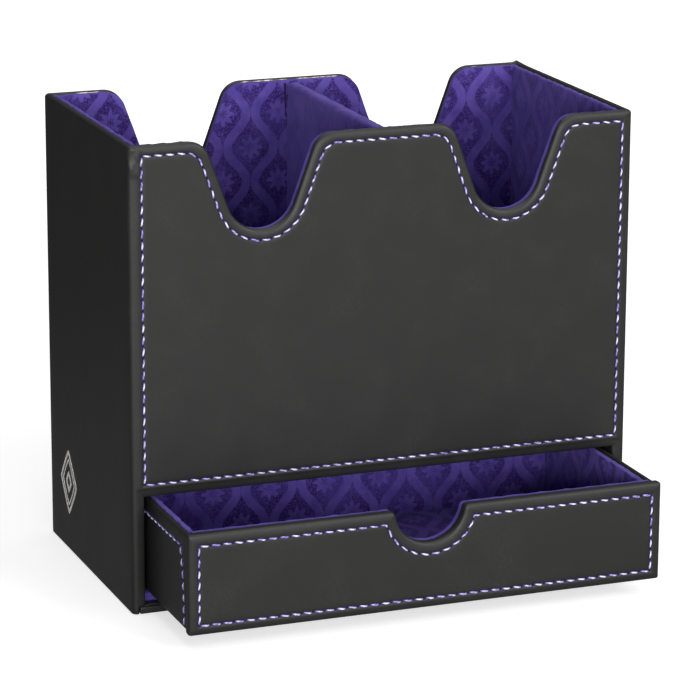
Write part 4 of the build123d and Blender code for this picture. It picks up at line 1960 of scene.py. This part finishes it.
@dataclass
class FoilOrnament:
    """A plain lozenge of silver foil on the left wall, with a smaller one inside it."""

    finishes: Finishes
    centre: Flat = (22.5 * MM, 22.3 * MM)
    half_width: float = 8.4 * MM
    half_height: float = 10.4 * MM
    line: float = 0.75 * MM
    inner_share: float = 0.34
    bow: float = 1.1
    sides: int = 64
    lift: float = 0.03 * MM
    sink: float = 0.10 * MM

    def _ring(self, share: float, height: float) -> list[Point]:
        """Return a lozenge with slightly bowed sides, at a share of the full size."""
        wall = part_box("outer_wrap")[0].x
        made: list[Point] = []
        for c, s in around(self.sides):
            reach = share / (abs(c) ** self.bow + abs(s) ** self.bow) ** (1 / self.bow)
            y = self.centre[0] + self.half_width * reach * c
            z = self.centre[1] + self.half_height * reach * s
            made.append((wall - height, y, z))
        return made

    def _band(self, draft: MeshDraft, outer: float, inner: float) -> None:
        """Add a closed foil band between two shares of the full size."""
        top, under = self.lift, -self.sink
        section = ((outer, under), (outer, top), (inner, top), (inner, under), (outer, under))
        draft.grid([self._ring(share, height) for share, height in section], closed=True)

    def build(self) -> None:
        """Make and seat the ornament."""
        draft = MeshDraft()
        step = self.line / self.half_width
        self._band(draft, 1.0, 1.0 - step * 1.5)
        self._band(draft, 1.0 - step * 3.0, 1.0 - step * 3.8)
        self._band(draft, self.inner_share, self.inner_share - step * 1.5)
        seat(draft.build("foil_lozenge", self.finishes.foil), Body.CASE, Slot.FOIL)


@dataclass(frozen=True)
class Lamp:
    """One soft rectangular lamp, turned to the box."""

    name: str
    place: Point
    width: float
    height: float
    power: float
    aim: Point = (0.0, -0.02, 0.07)

    def hang(self) -> None:
        """Add the lamp to the scene."""
        lamp = bpy.data.lights.new(self.name, "AREA")
        lamp.shape = "RECTANGLE"
        lamp.size, lamp.size_y = self.width, self.height
        lamp.energy = self.power
        holder = bpy.data.objects.new(self.name, lamp)
        bpy.context.scene.collection.objects.link(holder)
        holder.location = self.place
        holder.rotation_mode = "QUATERNION"
        holder.rotation_quaternion = (Vector(self.aim) - Vector(self.place)).to_track_quat("-Z", "Y")


@dataclass(frozen=True)
class Studio:
    """A white floor and background, a low soft lamp in front, two weaker ones, and an even sky.

    Reflections see the pale floor in front of the box, and a dark room behind it. The spans say where each
    change starts and ends: in metres on the floor, and as parts of a direction in the sky.
    """

    floor_half: float = 3.0
    floor_colour: Colour = (0.86, 0.86, 0.86)
    near_lift: float = 0.57
    far_lift: float = 0.86
    sky: float = 0.18
    mirror_floor: float = 0.53
    mirror_beside: float = 0.18
    mirror_front: float = 0.45
    mirror_top: float = 1.0
    mirror_dark: float = 0.08
    lift_span: Flat = (0.2, 0.7)
    ahead_span: Flat = (0.05, 0.13)
    beside_span: Flat = (0.08, 0.36)
    front_span: Flat = (0.0, 0.5)
    above_span: Flat = (0.40, 0.80)
    lamps: tuple[Lamp, ...] = (
        Lamp("front_lamp", (-0.42, -1.37, 0.32), 1.2, 0.26, 16.5),
        Lamp("side_lamp", (0.86, -0.98, 0.78), 1.2, 0.8, 12.0),
        Lamp("top_lamp", (0.0, -0.05, 1.25), 0.9, 0.9, 4.5),
    )

    @staticmethod
    def _seen(bench: NodeBench, path: bpy.types.Node) -> Socket:
        """Return one for the camera's rays, straight or through something clear, and zero for others."""
        return bench.math("MAXIMUM", path.outputs["Is Camera Ray"], path.outputs["Is Transmission Ray"])

    def _floor(self) -> None:
        """Make the floor, which shows white to the camera but keeps the shadow."""
        draft = MeshDraft()
        places = steps(-self.floor_half, self.floor_half, 12)
        draft.grid([[(x, y, 0.0) for x in places] for y in places])
        bench = NodeBench("studio_floor")
        matt = bench.node("BsdfDiffuse")
        matt.inputs["Color"].default_value = opaque(self.floor_colour)
        path = bench.node("LightPath")
        axes = bench.node("SeparateXYZ")
        bench.feed(axes.inputs[0], bench.place())
        reach = bench.node("VectorMath", operation="LENGTH")
        bench.feed(reach.inputs[0], bench.place())
        away = bench.smooth(reach.outputs["Value"], *self.lift_span)
        lift = bench.stretch(away, self.near_lift, self.far_lift)
        ahead = bench.smooth(bench.product(axes.outputs[1], -1.0), *self.ahead_span)
        behind = bench.smooth(axes.outputs[1], *self.beside_span)
        beside = bench.stretch(behind, self.mirror_beside, self.mirror_dark)
        glow = bench.node("Emission")
        bench.feed(glow.inputs["Strength"], bench.product(self._seen(bench, path), lift))
        mirrored = bench.node("Emission")
        pale = bench.math("MAXIMUM", bench.product(ahead, self.mirror_floor), beside)
        bench.feed(mirrored.inputs["Strength"], pale)
        both = bench.node("AddShader")
        bench.feed(both.inputs[0], matt.outputs[0])
        bench.feed(both.inputs[1], glow.outputs[0])
        choose = bench.node("MixShader")
        bench.feed(choose.inputs[0], path.outputs["Is Glossy Ray"])
        bench.feed(choose.inputs[1], both.outputs[0])
        bench.feed(choose.inputs[2], mirrored.outputs[0])
        bench.feed(bench.output.inputs[0], choose.outputs[0])
        draft.build("studio_floor", bench.material)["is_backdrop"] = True

    def _sky(self) -> None:
        """Light the scene evenly, with a white background for the camera and a dark room behind the box."""
        bench = NodeBench("studio_sky", world=True)
        bpy.context.scene.world = bench.material
        path = bench.node("LightPath")
        axes = bench.node("SeparateXYZ")
        bench.feed(axes.inputs[0], bench.node("TexCoord").outputs["Generated"])
        front = bench.smooth(bench.product(axes.outputs[1], -1.0), *self.front_span)
        above = bench.smooth(axes.outputs[2], *self.above_span)
        front_glow, top_glow = bench.product(front, self.mirror_front), bench.product(above, self.mirror_top)
        mirrored = bench.math("MAXIMUM", bench.math("MAXIMUM", front_glow, top_glow), self.mirror_dark)
        share = path.outputs["Is Glossy Ray"]
        even = bench.math("MULTIPLY_ADD", share, bench.math("SUBTRACT", mirrored, self.sky), self.sky)
        white = bench.math("MULTIPLY_ADD", self._seen(bench, path), bench.rest(even), even)
        backdrop = bench.node("Background")
        bench.feed(backdrop.inputs["Strength"], white)
        bench.feed(bench.output.inputs[0], backdrop.outputs[0])

    def build(self) -> None:
        """Set up the floor, the sky and the lamps."""
        bpy.context.scene.view_settings.view_transform = "Standard"
        self._floor()
        self._sky()
        for lamp in self.lamps:
            lamp.hang()


@dataclass(frozen=True)
class PhotoCamera:
    """The photograph's viewpoint: a long lens, turned to the right and tilted down."""

    place: Point = (-0.3716, -0.9806, 0.3484)
    yaw: float = math.radians(21.02)
    pitch: float = math.radians(15.21)
    roll: float = math.radians(0.25)
    focal_pixels: float = 3491.8
    photo_pixels: float = 700.0
    sensor: float = 36.0
    clip: Flat = (0.05, 20.0)

    def build(self) -> None:
        """Make the camera and use it for the scene."""
        forward = Vector((
            math.sin(self.yaw) * math.cos(self.pitch),
            math.cos(self.yaw) * math.cos(self.pitch),
            -math.sin(self.pitch),
        ))
        level = Vector((math.cos(self.yaw), -math.sin(self.yaw), 0.0))
        upright = level.cross(forward)
        right = level * math.cos(self.roll) + upright * math.sin(self.roll)
        up = upright * math.cos(self.roll) - level * math.sin(self.roll)
        data = bpy.data.cameras.new("photo_camera")
        data.sensor_width = self.sensor
        data.lens = self.sensor * self.focal_pixels / self.photo_pixels
        data.clip_start, data.clip_end = self.clip
        camera = bpy.data.objects.new("photo_camera", data)
        bpy.context.scene.collection.objects.link(camera)
        turn = Matrix((right, up, -forward)).transposed().to_4x4()
        camera.matrix_world = Matrix.Translation(Vector(self.place)) @ turn
        bpy.context.scene.camera = camera


@dataclass
class CarriedNodes:
    """The frame's own nodes that stay in the scene, with their finishes."""

    finishes: Finishes
    nodes: dict[str, Object]

    def dress(self) -> None:
        """Give each node the material of its kind."""
        for name, node in self.nodes.items():
            finish = self.finishes.board
            if "wrap" in name or "sheet" in name:
                finish = self.finishes.leather
            elif name.endswith("_velour"):
                finish = self.finishes.lining
            node.data.materials.clear()
            node.data.materials.append(finish)
            if name.endswith("_velour"):
                lay_weave(node.data, Weave.DEEP_AND_UP)


def main() -> tuple[Vector, Vector]:
    """Build the whole scene round the frame.

    Returns:
        The frame's lowest and highest corners.
    """
    logging.basicConfig(level=logging.INFO, format="%(name)s %(message)s", stream=sys.stdout)
    # Without a seed, noise_vector starts from the time, and the pile differs from run to run
    noise.seed_set(PILE_SEED)
    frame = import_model()
    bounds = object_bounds()
    PhotoCamera().build()
    finishes = Finishes.prepare()
    CarriedNodes(finishes, frame["nodes"]).dress()
    CaseCover(finishes).build()
    CaseLinings(finishes).build()
    DrawerCover(finishes).build()
    DrawerLinings(finishes).build()
    FoilOrnament(finishes).build()
    Studio().build()
    return bounds


if __name__ == "__main__":
    cad_box = main()
    bpy.context.view_layer.update()
